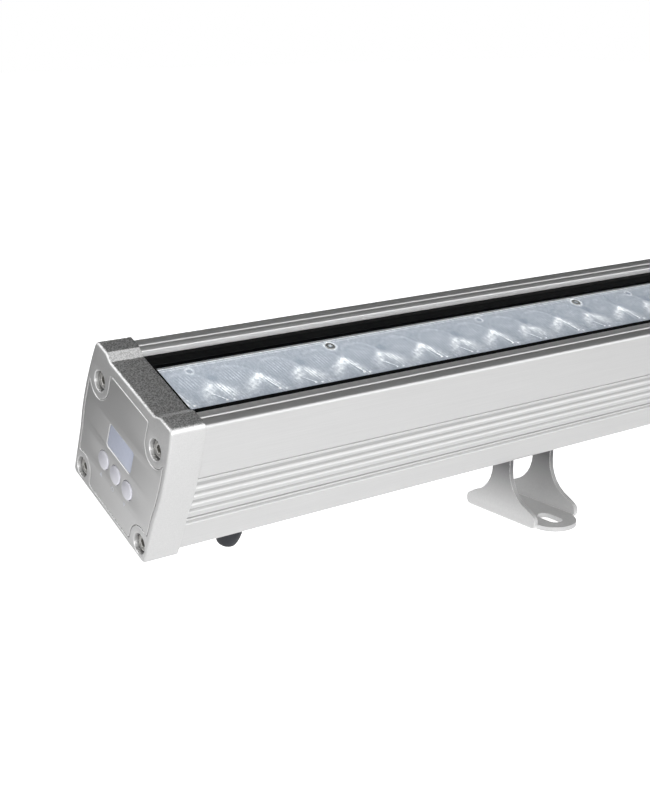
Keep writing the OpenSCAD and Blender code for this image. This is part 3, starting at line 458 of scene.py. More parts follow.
def build_dust():
    """Broad noise times how far the face looks up, as a mask, and the colour mixed with dust by it."""
    tree, given, result = new_group("settled_dust", {"Color": WHITE, "Amount": 0.15},
                                    {"Color": "Color", "Mask": "Float"})
    noise = node(tree, "TexNoise", {"Vector": object_place(tree), "Scale": 26, "Detail": 5}).outputs["Fac"]
    up = plus(tree, times(tree, level_of(tree, face_normal(tree)), 0.7, clamp=True), 0.3)
    patches = times(tree, minus(tree, noise, 0.35), 2.2, clamp=True)
    mask = times(tree, times(tree, up, patches), given["Amount"])
    feed(tree, result, {"Color": mix_color(tree, mask, given["Color"], DUST_COLOR), "Mask": mask})
    return tree


DUST = build_dust()
print("node groups:", [g.name for g in bpy.data.node_groups])

# %% [markdown]
# ## Finishes
#
# A finish is one material with a Principled shader. The helper below lays out the chain that all of
# them share: a colour broken up by grain, then worn at the edges and given a painted highlight there,
# then dusted; the same grain moves the roughness and, through a Bump node, the surface. The numbers of
# each finish were tuned against the photograph.

# %% Finish helper
def srgb(text):
    """A colour written as on the web, in Blender's linear light: above 0.04 it follows a 2.4 power."""
    c = np.array([int(text[i:i + 2], 16) / 255 for i in (1, 3, 5)])
    return tuple(np.where(c > 0.04045, ((c + 0.055) / 1.055) ** 2.4, c / 12.92)) + (1.0,)


def new_material(name):
    """A new material as (material, its node tree, its Principled shader)."""
    material = bpy.data.materials.new(name)
    material.use_nodes = True
    return material, material.node_tree, material.node_tree.nodes["Principled BSDF"]


def mix_shaders(tree, factor, a, b):
    """Shader a where the factor is 0 and shader b where it is 1."""
    return node(tree, "MixShader", {0: factor, 1: a, 2: b}).outputs[0]


def show(tree, shader):
    """Makes a shader the material's surface."""
    tree.links.new(shader, tree.nodes["Material Output"].inputs["Surface"])


def bumps(tree, strength, height, normal=None):
    """The normal of a surface with fine relief, 0.4 mm high at full strength."""
    return node(tree, "Bump", {"Strength": strength, "Distance": 0.4 * MM, "Height": height,
                               "Normal": normal}).outputs[0]


def finish(name, color, dark, metal=0.0, rough=(0.4, 0.5), scale=900.0, stretch=1.0, contrast=1.5,
           bump=0.02, edge=None, worn_lit_edge_amount=0.0, dust=0.12, coat=0.0, shine=0.5):
    """The shared chain with its own values; color and dark are the two tones that the grain mixes."""
    material, tree, shader = new_material(name)
    grain = grain_in(tree, scale, contrast, stretch)
    tone = mix_color(tree, grain["Mask"], srgb(dark), srgb(color))
    # The edge colour is partly wear and partly a painted highlight along the edges.
    edges = node(tree, "Group", {"Color": tone, "Edge Color": srgb(edge or color), "Amount": worn_lit_edge_amount},
                 node_tree=EDGE_WEAR_AND_HIGHLIGHT, name="edges").outputs
    dusty = node(tree, "Group", {"Color": edges["Color"], "Amount": dust}, node_tree=DUST).outputs
    roughness = plus(tree, times(tree, grain["Mask"], rough[1] - rough[0]), rough[0])
    feed(tree, shader.inputs, {
        "Base Color": dusty["Color"], "Roughness": plus(tree, roughness, dusty["Mask"]),
        "Normal": bumps(tree, bump, grain["Height"], edges["Normal"]), "Metallic": metal,
        "Coat Weight": coat, "Coat Roughness": 0.12, "Specular IOR Level": shine})
    return material


def tone_between(tree, socket, factor, color):
    """Mixes what feeds a colour socket now with another colour, and feeds it the mixture instead."""
    tree.links.new(mix_color(tree, factor, socket.links[0].from_socket, srgb(color)), socket)


# %% [markdown]
# The lamp's body is drawn through a die and clear anodised: satin, with fine lines along its length. The
# floors between its ribs get painted shade and the walls beside the glass a painted highlight, through an
# attribute of the mesh that moves the tone there. The caps are cast and then sandblasted, which gives a
# grey speckle; where they look up it also darkens them as painted shade. The face plates are smooth and
# bead-blasted. The screws are stainless steel.

# %% Metals
# The lighter edge colours of these metals are partly wear and partly a painted highlight.
extruded = finish("extruded_aluminium", "#D6D6D6", "#CECECE", metal=0.42, rough=(0.32, 0.42), scale=1400,
                  stretch=60, bump=0.03, edge="#FFFFFF", worn_lit_edge_amount=0.5, dust=0.03)
cast = finish("cast_aluminium", "#DEDEDE", "#D2D2D2", metal=0.7, rough=(0.36, 0.5), scale=1500,
              contrast=2.0, bump=0.1, edge="#F6F6F6", worn_lit_edge_amount=0.5, dust=0.02)
satin = finish("face_aluminium", "#DADADA", "#D1D1D1", metal=0.75, rough=(0.34, 0.42), scale=2600,
               bump=0.03, edge="#FFFFFF", worn_lit_edge_amount=0.9, dust=0.02)
steel = finish("screw_steel", "#C6C5C2", "#908F8C", metal=1, rough=(0.22, 0.36), scale=1800, bump=0.1,
               edge="#EEEEEA", worn_lit_edge_amount=0.6, dust=0.05)


def speckle_and_shade_upper_faces(material):
    """Where a face looks up, the grain mask pulls its tone towards dark grey: the speckle is the
    sandblasted grain, and the darkening of the upper faces is painted shade.
    """
    tree = material.node_tree
    up = times(tree, minus(tree, level_of(tree, face_normal(tree)), 0.45, clamp=True), 3.0, clamp=True)
    dark = times(tree, minus(tree, 1.0, grain_in(tree, 1300, 9)["Mask"]), up)
    socket = tree.nodes["Principled BSDF"].inputs["Base Color"]
    # Painted shade on the upper faces, broken into speckle by the grain.
    tone_between(tree, socket, times(tree, dark, 0.58), "#4E4E4E")


def shade_grooves_and_light_walls(material):
    """Where the rib attribute is below 0 the tone goes to grey as painted shade, and where it is above 0 to
    white as a painted highlight.
    """
    tree = material.node_tree
    socket = tree.nodes["Principled BSDF"].inputs["Base Color"]
    rib = node(tree, "Attribute", attribute_name="rib").outputs["Fac"]
    for sign, color in ((1.0, "#FFFFFF"), (-1.0, "#B6B6B6")):
        tone_between(tree, socket, times(tree, rib, sign, clamp=True), color)


speckle_and_shade_upper_faces(cast)
shade_grooves_and_light_walls(extruded)
slider_metal = finish("slider_aluminium", "#CFCFCC", "#B8B8B5", metal=1, rough=(0.36, 0.48), scale=1500,
                      stretch=20, bump=0.08, edge="#F0F0EE", worn_lit_edge_amount=0.5)
brass = finish("brass_spacers", "#C9A55A", "#B08C44", metal=1, rough=(0.28, 0.4), scale=1800, bump=0.08)
print("metals ready")

# %% [markdown]
# The brackets are powder coated in white: a fine orange-peel skin, a little worn where the edges are
# thin, and given a painted highlight along those edges. Seals, glands and buttons are rubber and moulded
# plastic with much finer grain.

# %% Paint, rubber and plastics
paint = finish("white_paint", "#E2E2E2", "#D6D6D6", rough=(0.38, 0.5), scale=700, bump=0.12,
               edge="#FFFFFF", worn_lit_edge_amount=1.0, dust=0.04, coat=0.15)


def shade_towards_pivot(material):
    """The tone falls to dark grey from 6 to 36 mm above the sole, where the lamp keeps the light away."""
    tree = material.node_tree
    height = times(tree, minus(tree, level_of(tree, object_place(tree)), 6 * MM), 1 / (30 * MM), clamp=True)
    tone_between(tree, tree.nodes["edges"].inputs["Color"], times(tree, height, 0.95), "#58585A")


shade_towards_pivot(paint)
# The lighter edge colours of the black rubber and the gland plastic are painted highlights.
gasket_rubber = finish("gasket_rubber", "#0C0D0E", "#050606", rough=(0.55, 0.66), scale=1600, bump=0.08,
                       edge="#2A2C2F", worn_lit_edge_amount=0.3, dust=0.01, shine=0.04)
seal_rubber = finish("seal_rubber", "#2C2D2F", "#1E1F21", rough=(0.6, 0.75), scale=1500, bump=0.2,
                     dust=0.05)
gland_plastic = finish("gland_plastic", "#3A3C40", "#2C2E32", rough=(0.42, 0.55), scale=1200, bump=0.12,
                       edge="#77797E", worn_lit_edge_amount=0.5, dust=0.04, shine=0.15)
button_plastic = finish("button_plastic", "#F0F0F8", "#E8E8F2", rough=(0.3, 0.4), scale=1500, bump=0.03,
                        edge="#EEF0FF", worn_lit_edge_amount=0.2, dust=0.02, coat=0.3)
window_plastic = finish("window_plastic", "#DCE3F8", "#D4DBF0", rough=(0.16, 0.24), scale=500, bump=0.02,
                        edge="#E6E8F8", worn_lit_edge_amount=0.2, dust=0.02, coat=0.6)
dark_plastic = finish("dark_plastic", "#26282C", "#1C1E22", rough=(0.4, 0.55), scale=1300, bump=0.1)
terminal_plastic = finish("terminal_plastic", "#DAD8CE", "#CFCDC2", rough=(0.4, 0.5), scale=1100, bump=0.06)
print_black = finish("glass_print", "#060708", "#030304", rough=(0.25, 0.32), bump=0.01, dust=0, shine=0.04)
print_white = finish("icon_print", "#F4F5FA", "#E6E8F0", scale=1500, dust=0.02)
print("paint, rubber and plastics ready")

# %% [markdown]
# Behind the housing, the boards, wires and power unit have their own finishes, because a model that is
# opened or shown in section has to look right inside as well.

# %% Inner finishes
def wire_finish(name, color, dark):
    """The smooth plastic round a wire."""
    return finish(name, color, dark, rough=(0.45, 0.55), scale=1500, bump=0.04)


def give(material, *node_names):
    """The CAD meshes of these nodes get this material and no other."""
    for node_name in node_names:
        materials = frame["nodes"][node_name].data.materials
        materials.clear()
        materials.append(material)
    print(material.name, "on", *node_names)


give(seal_rubber, "left_cap_seal", "right_cap_seal")
give(steel, "power_unit_screws")
give(brass, "board_spacers")
give(terminal_plastic, "supply_terminal", "link_terminal")
give(dark_plastic, "display_module", "key_switches")
give(wire_finish("brown_wire", "#6B4026", "#5C351E"), "supply_wires", "link_wires")
give(wire_finish("red_wire", "#B9382E", "#A52E26"), "light_wires")
give(wire_finish("blue_wire", "#3D5C8C", "#33507C"), "control_wires")
give(finish("white_board", "#F1F3F0", "#E6E9E4", rough=(0.35, 0.5), bump=0.04),
     "left_light_board", "middle_light_board", "right_light_board")
give(finish("light_source", "#E9D070", "#DCC05C", rough=(0.2, 0.3), bump=0.03, coat=0.5), "light_sources")
give(finish("unit_case", "#A9ACB0", "#989B9F", metal=1, rough=(0.4, 0.55), stretch=12, bump=0.1),
     "power_unit")
give(finish("green_board", "#2F6B45", "#27593A", rough=(0.35, 0.5), scale=700, bump=0.08, coat=0.3),
     "control_board")

# %% [markdown]
# ## The housing
#
# The real housing is one extrusion: aluminium pressed through a die, so every section of it is the
# same. It could be cut from a block with booleans, but an outline carried along x is what it really is,
# and the outline can hold the ribs, the rim grooves and a small rounding on each edge.

# %% Side curve of the lamp
def side_half(z):
    """Half width at a level: a straight taper low down, then two parabolas that meet where it is widest."""
    z = np.asarray(z, float)
    low = 38.5 + 1.0 * z / 29
    middle = 41 - 1.5 * ((46 - z) / 17) ** 2
    high = 41 - 2.8 * ((z - 46) / 32.4) ** 2
    return np.where(z < 29, low, np.where(z < 46, middle, high))


def side_points(inset, low, high, steps=16):
    """Points up one side between two levels, moved inwards by inset."""
    z = np.linspace(low, high, steps + 1)
    return np.stack([side_half(z) - inset, z], -1)


GROOVE_SHARES = np.array([[0, 0.028], [0.077, 0.2], [0.256, 0.367], [0.429, 0.546],
                          [0.623, 0.704], [0.796, 0.836], [0.864, 0.938]])


def ribbed_side():
    """The side's points with each groove's four corners put in among them, in order of height."""
    top, band = RIB_HIGH, RIB_HIGH - RIB_LOW
    high, low = top - GROOVE_SHARES[:, 0] * band, top - GROOVE_SHARES[:, 1] * band
    slant = 0.2 * (high - low)
    floor_y = side_half((high + low) / 2) - SKIN - RIB_DEPTH
    z = np.stack([low - 0.13 * slant, low + slant, high - slant, high + 0.13 * slant], -1)
    y = np.stack([side_half(z[:, 0]) - SKIN, floor_y, floor_y, side_half(z[:, 3]) - SKIN], -1)
    grooves = np.stack([y.ravel(), z.ravel()], -1)
    plain = np.concatenate([side_points(SKIN, 9.2, RIM_Z - 4, 40),
                            side_points(SKIN, RIB_LOW - 0.2, RIB_LOW + 0.1, 1)])
    inside = ((plain[:, 1, None] > low - slant) & (plain[:, 1, None] < high + slant)).any(1)
    points = np.concatenate([plain[~inside], grooves])
    return points[np.argsort(points[:, 1])]


def housing_outline():
    """The section's outer edge: underside, ribbed side, rim with its groove, ledge and lens chamber."""
    half = np.concatenate([
        [[4.2, SKIN]], arc((32.3, SKIN + 5), 5, -90, 0), ribbed_side(), arc((35, RIM_Z - 2), 2, 0, 90),
        [[31.1, RIM_Z], [30.5, RIM_Z - 0.6], [29.9, RIM_Z], [CHANNEL_HALF, RIM_Z], [CHANNEL_HALF, LEDGE_Z],
         [LEDGE_HALF, LEDGE_Z], [LEDGE_HALF, LEDGE_Z - 2], [23.5, LEDGE_Z - 2], [23.5, SHELF_TOP]]])
    track = np.array([[-4.2, 3.2], [-7.5, 3.2], [-7.5, 8.6], [7.5, 8.6], [7.5, 3.2], [4.2, 3.2]])
    return soften(np.concatenate([both_sides(half), track]), 0.28)


def lower_chamber():
    """The hollow for the power unit, round the screw bosses and over the track."""
    half = np.concatenate([
        [[9.5, 3.7]], arc(LOWER_SCREW, 4.2, 245, 36), side_points(HOLLOW_INSET, 11, 50, 10)])
    return both_sides(np.concatenate([[[9.5, 10.6]], half]))


def side_hollow(side):
    """The thin hollow beside the lens chamber, up round the upper screw's boss."""
    loop = np.concatenate([
        [[26, SHELF_TOP]], side_points(HOLLOW_INSET, SHELF_TOP, 62, 4),
        arc(UPPER_SCREW, 4.3, 0, -180, 8) + [0, -1], [[26, 60]]])
    return loop * [side, 1]


print("housing outline:", len(housing_outline()), "points")

# %% Housing
hollows = [lower_chamber(), side_hollow(1), side_hollow(-1)]
housing = piece("housing_skin", prism(CAP_T, LAMP_L - CAP_T, housing_outline(), *hollows), "lamp",
                ["housing"], "extruded_aluminium", extruded, sharp=28)


def groove_shade_and_wall_light(x, y, z):
    """-1 for painted shade on the floors between the ribs, 1 for a painted highlight on the walls beside
    the glass, 0 elsewhere.
    """
    depth = side_half(z) - SKIN - np.abs(y)
    band = (z > RIB_LOW) & (z < RIB_HIGH - 0.8) & (np.abs(y) > 34) & (depth < 1.6)
    inner_wall = (np.abs(np.abs(y) - CHANNEL_HALF) < 0.4) & (z > LEDGE_Z - 0.5)
    return np.where(band & (depth > 0.3), -1.0, np.where(inner_wall, 1.0, 0.0))


# The rib attribute carries painted shade in the grooves and a painted highlight on the walls beside the
# glass.
paint_points(housing, "rib", groove_shade_and_wall_light)

# %% [markdown]
# ## The end caps
#
# A cap is a die casting: a plate with rounded edges and a pocket behind it, ridges on top that line up
# with the housing's rims, a sunk place for the face plate and four counterbores for screws. It could be
# one block cut by booleans, but walls carried between levels keep every edge clean and rounded.

# %% Outlines on a cap
def cap_outline(inset=0.0):
    """The cap's edge: rounded foot, curved side, rounded ridge, slope and low middle."""
    return both_sides(np.concatenate([
        arc((35.5, 3), 3 - inset, -90, 0), side_points(inset, 6, CAP_H - 6),
        arc((35.2, CAP_H - 3), 3 - inset, 0, 90), [[RECESS_HALF + RIDGE_RUN, CAP_H - inset],
                                                   [RECESS_HALF, RECESS_Z - inset]]]))


def bend(before, corner, after, steps=5):
    """A parabola from one point to another that leaves and arrives along the lines to the corner."""
    s = np.linspace(0, 1, steps + 1)[:, None]
    before, corner, after = (np.asarray(place, float) for place in (before, corner, after))
    return (1 - s) ** 2 * before + 2 * s * (1 - s) * corner + s ** 2 * after


def plate_outline(grow=0.0):
    """The face plate's edge: its sides follow the lamp's, and an arc leaves each screw free."""
    r, (uy, uz), (ly, lz) = 9.5, UPPER_SCREW, LOWER_SCREW
    top, foot, inset, turn = 72.5, 3.5, 3.5, 1.5
    low_end = np.degrees(np.arccos((side_half(16) - inset - ly) / r))
    high_end = -np.degrees(np.arccos((side_half(59.6) - inset - uy) / r))
    low_arc, high_arc = arc((ly, lz), r, 180, low_end + 9, 16), arc((uy, uz), r, high_end - 9, -180, 18)
    low_corner = arc((ly, lz), r, low_end, low_end, 1)[0]
    high_corner = arc((uy, uz), r, high_end, high_end, 1)[0]
    sides = side_points(inset, low_corner[1] + turn, high_corner[1] - turn, 16)
    half = np.concatenate([
        bend((ly - r - turn, foot), (ly - r, foot), (ly - r, foot + turn)), low_arc,
        bend(low_arc[-1], low_corner, sides[0])[1:-1], sides,
        bend(sides[-1], high_corner, high_arc[0])[1:-1], high_arc,
        bend((uy - r, top - turn), (uy - r, top), (uy - r - turn, top))])
    return moved_out(both_sides(half), grow)


def rounded_window(grow=0.0):
    """The display window's edge: a rectangle with corners of 1.5 mm."""
    w, h, r = WINDOW_W / 2 + grow, WINDOW_H / 2 + grow, 1.5
    half = np.concatenate([arc((w - r, r - h), r, -90, 0, 6), arc((w - r, h - r), r, 0, 90, 6)])
    return both_sides(half) + [0, WINDOW_Z]


PLATE_T, HEAD_X = 1.2, 2
SCREW_PLACES = [(s * y, z) for s in (-1, 1) for y, z in (UPPER_SCREW, LOWER_SCREW)]
BUTTON_PLACES = [(i * BUTTON_PITCH, BUTTON_Z) for i in (-1, 0, 1)]
pocket = np.array([[-25, 15], [25, 15], [25, 53], [-25, 53.0]])
print("plate outline:", len(plate_outline()), "points")

# %% The cap's surfaces
def cap_parts(openings):
    """All faces of a cap between x = 0, its face, and its back, with openings through its wall."""
    edge, recess, seal, seal_x = cap_outline(), plate_outline(0.5), cap_outline(1.6), CAP_T - 1
    rim, lip, key_floor, pocket_x = 1.3, 0.5, 6.5, 4.2
    mouths = [circle(place, RECESS_R + lip) for place in SCREW_PLACES]
    shafts = [circle(place, 2.6) for place in SCREW_PLACES]
    parts = [grid(np.stack([at_x(cap_outline(less), deep) for less, deep in quarter(rim, 5)])),
             wall(edge, rim, CAP_T), flat(0, cap_outline(rim), moved_out(recess, 0.2), *mouths),
             rounded_wall(recess, 0, 0.2, -1, 2), wall(recess, 0.2, PLATE_T),
             flat(PLATE_T, recess, *openings)]
    for shaft, place in zip(shafts, SCREW_PLACES):
        bore = circle(place, RECESS_R)
        mouth = np.stack([at_x(circle(place, RECESS_R + more), deep) for more, deep in quarter(lip, 3)])
        parts += [grid(mouth), wall(bore, lip, key_floor), flat(key_floor, bore, shaft),
                  wall(shaft, key_floor, seal_x)]
    parts += [wall(opening, PLATE_T, pocket_x) for opening in openings]
    parts += [flat(pocket_x, pocket, *openings), wall(pocket, pocket_x, seal_x),
              flat(seal_x, seal, pocket, *shafts), wall(seal, seal_x, CAP_T), flat(CAP_T, edge, seal)]
    return parts


def far_end(points):
    """The same place at the lamp's far end: x is counted from there, then the lamp is leant over."""
    return lean_over(np.asarray(points) * [-1, 1, 1] + [LAMP_L, 0, 0])


openings = [rounded_window(0.2)] + [circle(p, BUTTON_R + 0.3) for p in BUTTON_PLACES]
piece("left_cap_casting", cap_parts(openings), "lamp", ["left_cap"], "cast_aluminium", cast, sharp=20)
piece("right_cap_casting", cap_parts([]), "lamp", ["right_cap"], "cast_aluminium", cast, sharp=20,
      place=far_end)

# %% [markdown]
# ## The face plates
#
# A thin plate lies in each cap's sunk place, with half a millimetre of shadow gap round it. At the
# control end it has a window for the display and holes for three buttons.

# %% Plates
def slab(outer, holes, x0, x1, r):
    """A plate between x0 and x1 whose front edges, at the holes too, are rounded by r."""
    parts = [flat(x0, moved_out(outer, -r), *[moved_out(hole, r) for hole in holes]),
             rounded_wall(outer, x0, r, 1), wall(outer, x0 + r, x1), flat(x1, outer, *holes)]
    for hole in holes:
        parts += [rounded_wall(hole, x0, r, -1), wall(hole, x0 + r, x1)]
    return parts


piece("control_face", slab(plate_outline(), openings, 0, PLATE_T, 0.22), "lamp", ["control_plate"],
      "face_aluminium", satin)
piece("blank_face", slab(plate_outline(), [], 0, PLATE_T, 0.22), "lamp", ["blank_plate"],
      "face_aluminium", satin, place=far_end)

# %% [markdown]
# ## Display, buttons and their marks
#
# The display sits behind a lilac window with softly rounded edges. Each button is a turned piece with a
# low dome. Under the buttons there are small printed marks: plain arrows and a ring, as on any keypad.

# %% Display window and buttons
piece("display_pane", slab(rounded_window(), [], 0.3, 2.3, 0.35), "lamp", ["display_window"],
      "window_plastic", window_plastic)


def button_profile():
    """(x, radius) down a button: a dome by a circle's formula, a rounded rim, the collar and the stem."""
    r = np.linspace(0, BUTTON_R - 0.5, 9)
    dome = np.stack([-1.2 + 0.75 * (r / BUTTON_R) ** 2, r, 0 * r], -1)
    rim = arc((-0.03, BUTTON_R - 0.5), 0.5, 155, 90, 5)
    rim = np.stack([rim[:, 0], rim[:, 1], 0 * rim[:, 0]], -1)
    rest = [[4.4, BUTTON_R, 0], [4.4, 5.6, 0], [5.4, 5.6, 0], [5.4, 1.8, 0], [7.0, 1.8, 0], [7.0, 0, 0]]
    return np.concatenate([dome, rim, rest])


for button_name, (y, z) in zip(("front_button", "middle_button", "rear_button"), BUTTON_PLACES):
    piece(button_name + "_key", [turned(button_profile(), (0, y, z), sides=48)], button_name,
          [button_name], "button_plastic", button_plastic)


# %% Marks under the buttons
MARK_Z, MARK_FRONT, MARK_BACK = BUTTON_Z - 8.9, -0.04, 0.02
arrow = np.array([[-1.4, -1.1], [1.4, -1.1], [0, 1.4]])
ring_out, ring_in = circle((0, MARK_Z), 1.4, 24), circle((0, MARK_Z), 0.75, 24)
marks = prism(MARK_FRONT, MARK_BACK, ring_out, ring_in)
for way in (1, -1):
    marks += prism(MARK_FRONT, MARK_BACK, way * arrow + [way * BUTTON_PITCH, MARK_Z])
piece("button_marks", marks, "lamp", material=print_white, slot="face_aluminium")

# %% [markdown]
# ## Screws
#
# Socket head screws hold the caps. Each is turned: a rounded head, a chamfer and a hexagon socket with a
# conical floor, on a shank that ends in the housing. All eight share one mesh because they are one part.
# Six smaller ones of the same form hold the lens modules.

# %% Cap screws and lens screws
def socket_screw(head_r, head_t, shank_r, shank_l, key_r, key_depth):
    """(height, radius, flatness) from the socket's floor out over the head and down the shank."""
    edge = 0.12 * head_r
    key = [[key_depth + 0.5 * key_r, 0, 1], [key_depth, key_r, 1], [0.25, key_r, 1], [0, key_r * 1.14, 0.2]]
    head = [[0, head_r - edge, 0], [0.3 * edge, head_r - 0.3 * edge, 0], [edge, head_r, 0],
            [head_t, head_r, 0]]
    shank = [[head_t, shank_r, 0], [shank_l - 0.5, shank_r, 0], [shank_l, shank_r - 0.5, 0],
             [shank_l, 0, 0]]
    return key + head + shank


cap_profile = socket_screw(4.4, 4.5, 2.5, 30.5, 2.3, 2.4)
cap_screws = [turned(cap_profile, (x, *place), axis=(way, 0, 0))
              for x, way in ((HEAD_X, 1), (LAMP_L - HEAD_X, -1)) for place in SCREW_PLACES]
piece("cap_screw_set", cap_screws, "lamp", ["cap_screws"], "steel_screws", steel)


def along_modules(*shares):
    """Places (x, y) behind the lenses at some shares of each module's length."""
    return [(END_MARGIN + (i + share) * MODULE_L, PEG_Y) for i in range(3) for share in shares]


SEAT_PLACES, PEG_PLACES = along_modules(1 / 3, 11 / 12), along_modules(1 / 16, 2 / 3)
lens_profile = socket_screw(2.8, 1.2, 1.5, 21, 1.3, 0.7)
lens_screws = [turned(lens_profile, (*place, LENS_TOP), axis=(0, 0, -1), sides=24) for place in SEAT_PLACES]
piece("lens_screw_set", lens_screws, "lamp", ["lens_screws"], "steel_screws", steel)

# %% [markdown]
# ## The glass and its gasket
#
# Tempered glass lies in a black rubber frame. Its underside is printed black round the edge, so that only
# the lenses show. Both are rectangles with a profile carried round them: each point of the profile makes
# one rectangle, and the rectangles together make the frame.

# %% Frames round the glass
def rectangle(end, half, z, r=0.0, steps=4):
    """A rectangle at a level, that far from both lamp ends, with rounded corners where r isn't zero."""
    left, right, y = end + r, LAMP_L - end - r, half - r
    corners = ((left, -y, 180), (right, -y, 270), (right, y, 0), (left, y, 90))
    if r == 0:
        xy = np.array(corners)[:, :2]
    else:
        xy = np.concatenate([arc((cx, cy), r, turn, turn + 90, steps) for cx, cy, turn in corners])
    return np.concatenate([xy, np.full((len(xy), 1), float(z))], 1)


def frame_of(profile, r=0.0):
    """Rows of (end inset, half width, level), each carried round as a rectangle, closed on themselves."""
    return grid(np.stack([rectangle(*row, r) for row in profile]), along_way=True)


def block_of(profile, r=0.0):
    """The same, but closed by flat ends instead: a solid block."""
    points = np.stack([rectangle(*row, r) for row in profile])
    n, m = points.shape[:2]
    points, faces = grid(points)
    return points, faces + [list(range(m)), list(range((n - 1) * m, n * m))]


edge = 0.25
outside = [(CAP_T, CHANNEL_HALF, LEDGE_Z), (CAP_T, CHANNEL_HALF, GASKET_TOP - edge),
           (CAP_T + edge, CHANNEL_HALF - edge, GASKET_TOP)]
lip = [(20.9, 22.95, GASKET_TOP), (21.2, 22.6, LIP_TOP), (22.2, 19.1, LIP_TOP),
       (LIP_END, LIP_HALF, LIP_TOP - 0.35), (LIP_END, LIP_HALF, GLASS_TOP)]
seat = [(GLASS_END, GLASS_HALF, GLASS_TOP), (GLASS_END, GLASS_HALF, GLASS_Z), (20, LEDGE_HALF, GLASS_Z),
        (20, LEDGE_HALF, LEDGE_Z)]
piece("glass_gasket_frame", [frame_of(outside + lip + seat)], "lamp", ["glass_gasket"], "black_rubber",
      gasket_rubber)
print_low, print_high = GLASS_Z + 0.06, GLASS_Z + 0.14
print_profile = [(21.05, 23.65, print_low), (21.05, 23.65, print_high), (23.7, 18, print_high),
                 (23.7, 18, print_low)]
piece("glass_border", [frame_of(print_profile, r=0.6)], "lamp", material=print_black, slot="clear_glass")

# %% [markdown]
# So rays that ask for shadow meet a clear shader instead: the glass still reflects and bends what
# the eye sees, and the lenses under it get their light.

# %% Glass
def clear_glass_finish():
    """A Principled glass, swapped for a Transparent shader where Light Path says a shadow ray."""
    material, tree, glass = new_material("clear_glass")
    feed(tree, glass.inputs, {"Base Color": (0.97, 0.99, 1.0, 1), "Transmission Weight": 1, "IOR": 1.5,
                              "Roughness": times(tree, grain_in(tree, 60, 1.2)["Mask"], 0.03)})
    clear = node(tree, "BsdfTransparent").outputs[0]
    show(tree, mix_shaders(tree, node(tree, "LightPath").outputs["Is Shadow Ray"], glass.outputs[0], clear))
    return material


chamfer = 0.3
smaller, whole = (GLASS_END + chamfer, GLASS_HALF - chamfer), (GLASS_END, GLASS_HALF)
glass_profile = [(*smaller, GLASS_Z), (*whole, GLASS_Z + chamfer), (*whole, GLASS_TOP - chamfer),
                 (*smaller, GLASS_TOP)]
piece("glass_pane", [block_of(glass_profile, r=0.5)], "lamp", ["glass_cover"], "clear_glass",
      clear_glass_finish())

# %% [markdown]
# ## The lens modules
#
# Each module is one strip of clear moulded lenses. Light from the white board under it comes back through
# the lens cones, so a lens shows a pale bowl, fine ribs across the strip and bright streaks towards the
# front. Real refraction is slow and noisy at this size, so the strip is a surface whose height is a
# formula of place, and that light is painted in: a second formula, kept as an attribute of its points,
# gives the painted highlights and glints of its colour and a painted glow, though the strip is no lamp.

# %% Lens relief
# Painted light: the lens colour runs from blue-grey to white, and its painted glow from grey to white.
PAINTED_FLARE_TONES = (srgb("#A3A9B3"), srgb("#FFFFFF"))
PAINTED_GLOW_TONES = (srgb("#757C86"), srgb("#FFFFFF"))


def bump_at(a, middle, width):
    """A smooth hump: e to minus the square of the distance from its middle over its width."""
    return np.exp(-((a - middle) / width) ** 2)


def between(a, low, high, soft):
    """1 between two values and 0 outside, with straight ramps of the given width."""
    return np.clip((a - low) / soft + 0.5, 0, 1) * np.clip((high - a) / soft + 0.5, 0, 1)


def rings_at(x, y, places, r, width):
    """A raised or bright ring of radius r round each of some places, added together."""
    return sum(bump_at(np.hypot(x - px, y - py), r, width) for px, py in places)


def from_middle(x):
    """How far x is from the middle of its lens."""
    return (x - END_MARGIN) % LENS_PITCH - LENS_PITCH / 2


def ripple(a):
    """A wave with one crest for each fine rib of the strip."""
    return np.cos(2 * np.pi * a / LENS_RIB)


def lens_height(x, y):
    """Level of the strip: a shallow bowl in each cell, fine ribs across it, rings at pegs and screws."""
    u = from_middle(x)
    rho = np.hypot(u, y)
    bowl = np.sqrt(np.clip(1 - (rho / LENS_R) ** 2, 0, 1))
    ribs = 0.07 * ripple(u) * bowl
    rings = 0.25 * rings_at(x, y, SEAT_PLACES, 4.2, 0.5) + 0.2 * rings_at(x, y, PEG_PLACES, 2.6, 0.5)
    edge = 0.25 * np.clip(np.abs(y) - 17.2, 0, 1)
    return LENS_TOP - 0.45 - 0.3 * bowl + ribs + 0.1 * bump_at(rho, 12.9, 0.5) + rings - edge


def beam(b, y, start, end, width):
    """A band of light from one point to another: it starts thin, widens, and fades at its end."""
    (b0, y0), (b1, y1) = start, end
    span = (b1 - b0) ** 2 + (y1 - y0) ** 2
    t = ((b - b0) * (b1 - b0) + (y - y0) * (y1 - y0)) / span
    near = np.clip(t, 0, 1)
    off = np.hypot(b - b0 - near * (b1 - b0), y - y0 - near * (y1 - y0))
    return np.exp(-(off / (width * (0.5 + 0.5 * near))) ** 2) * np.clip(1.3 - near, 0, 1)


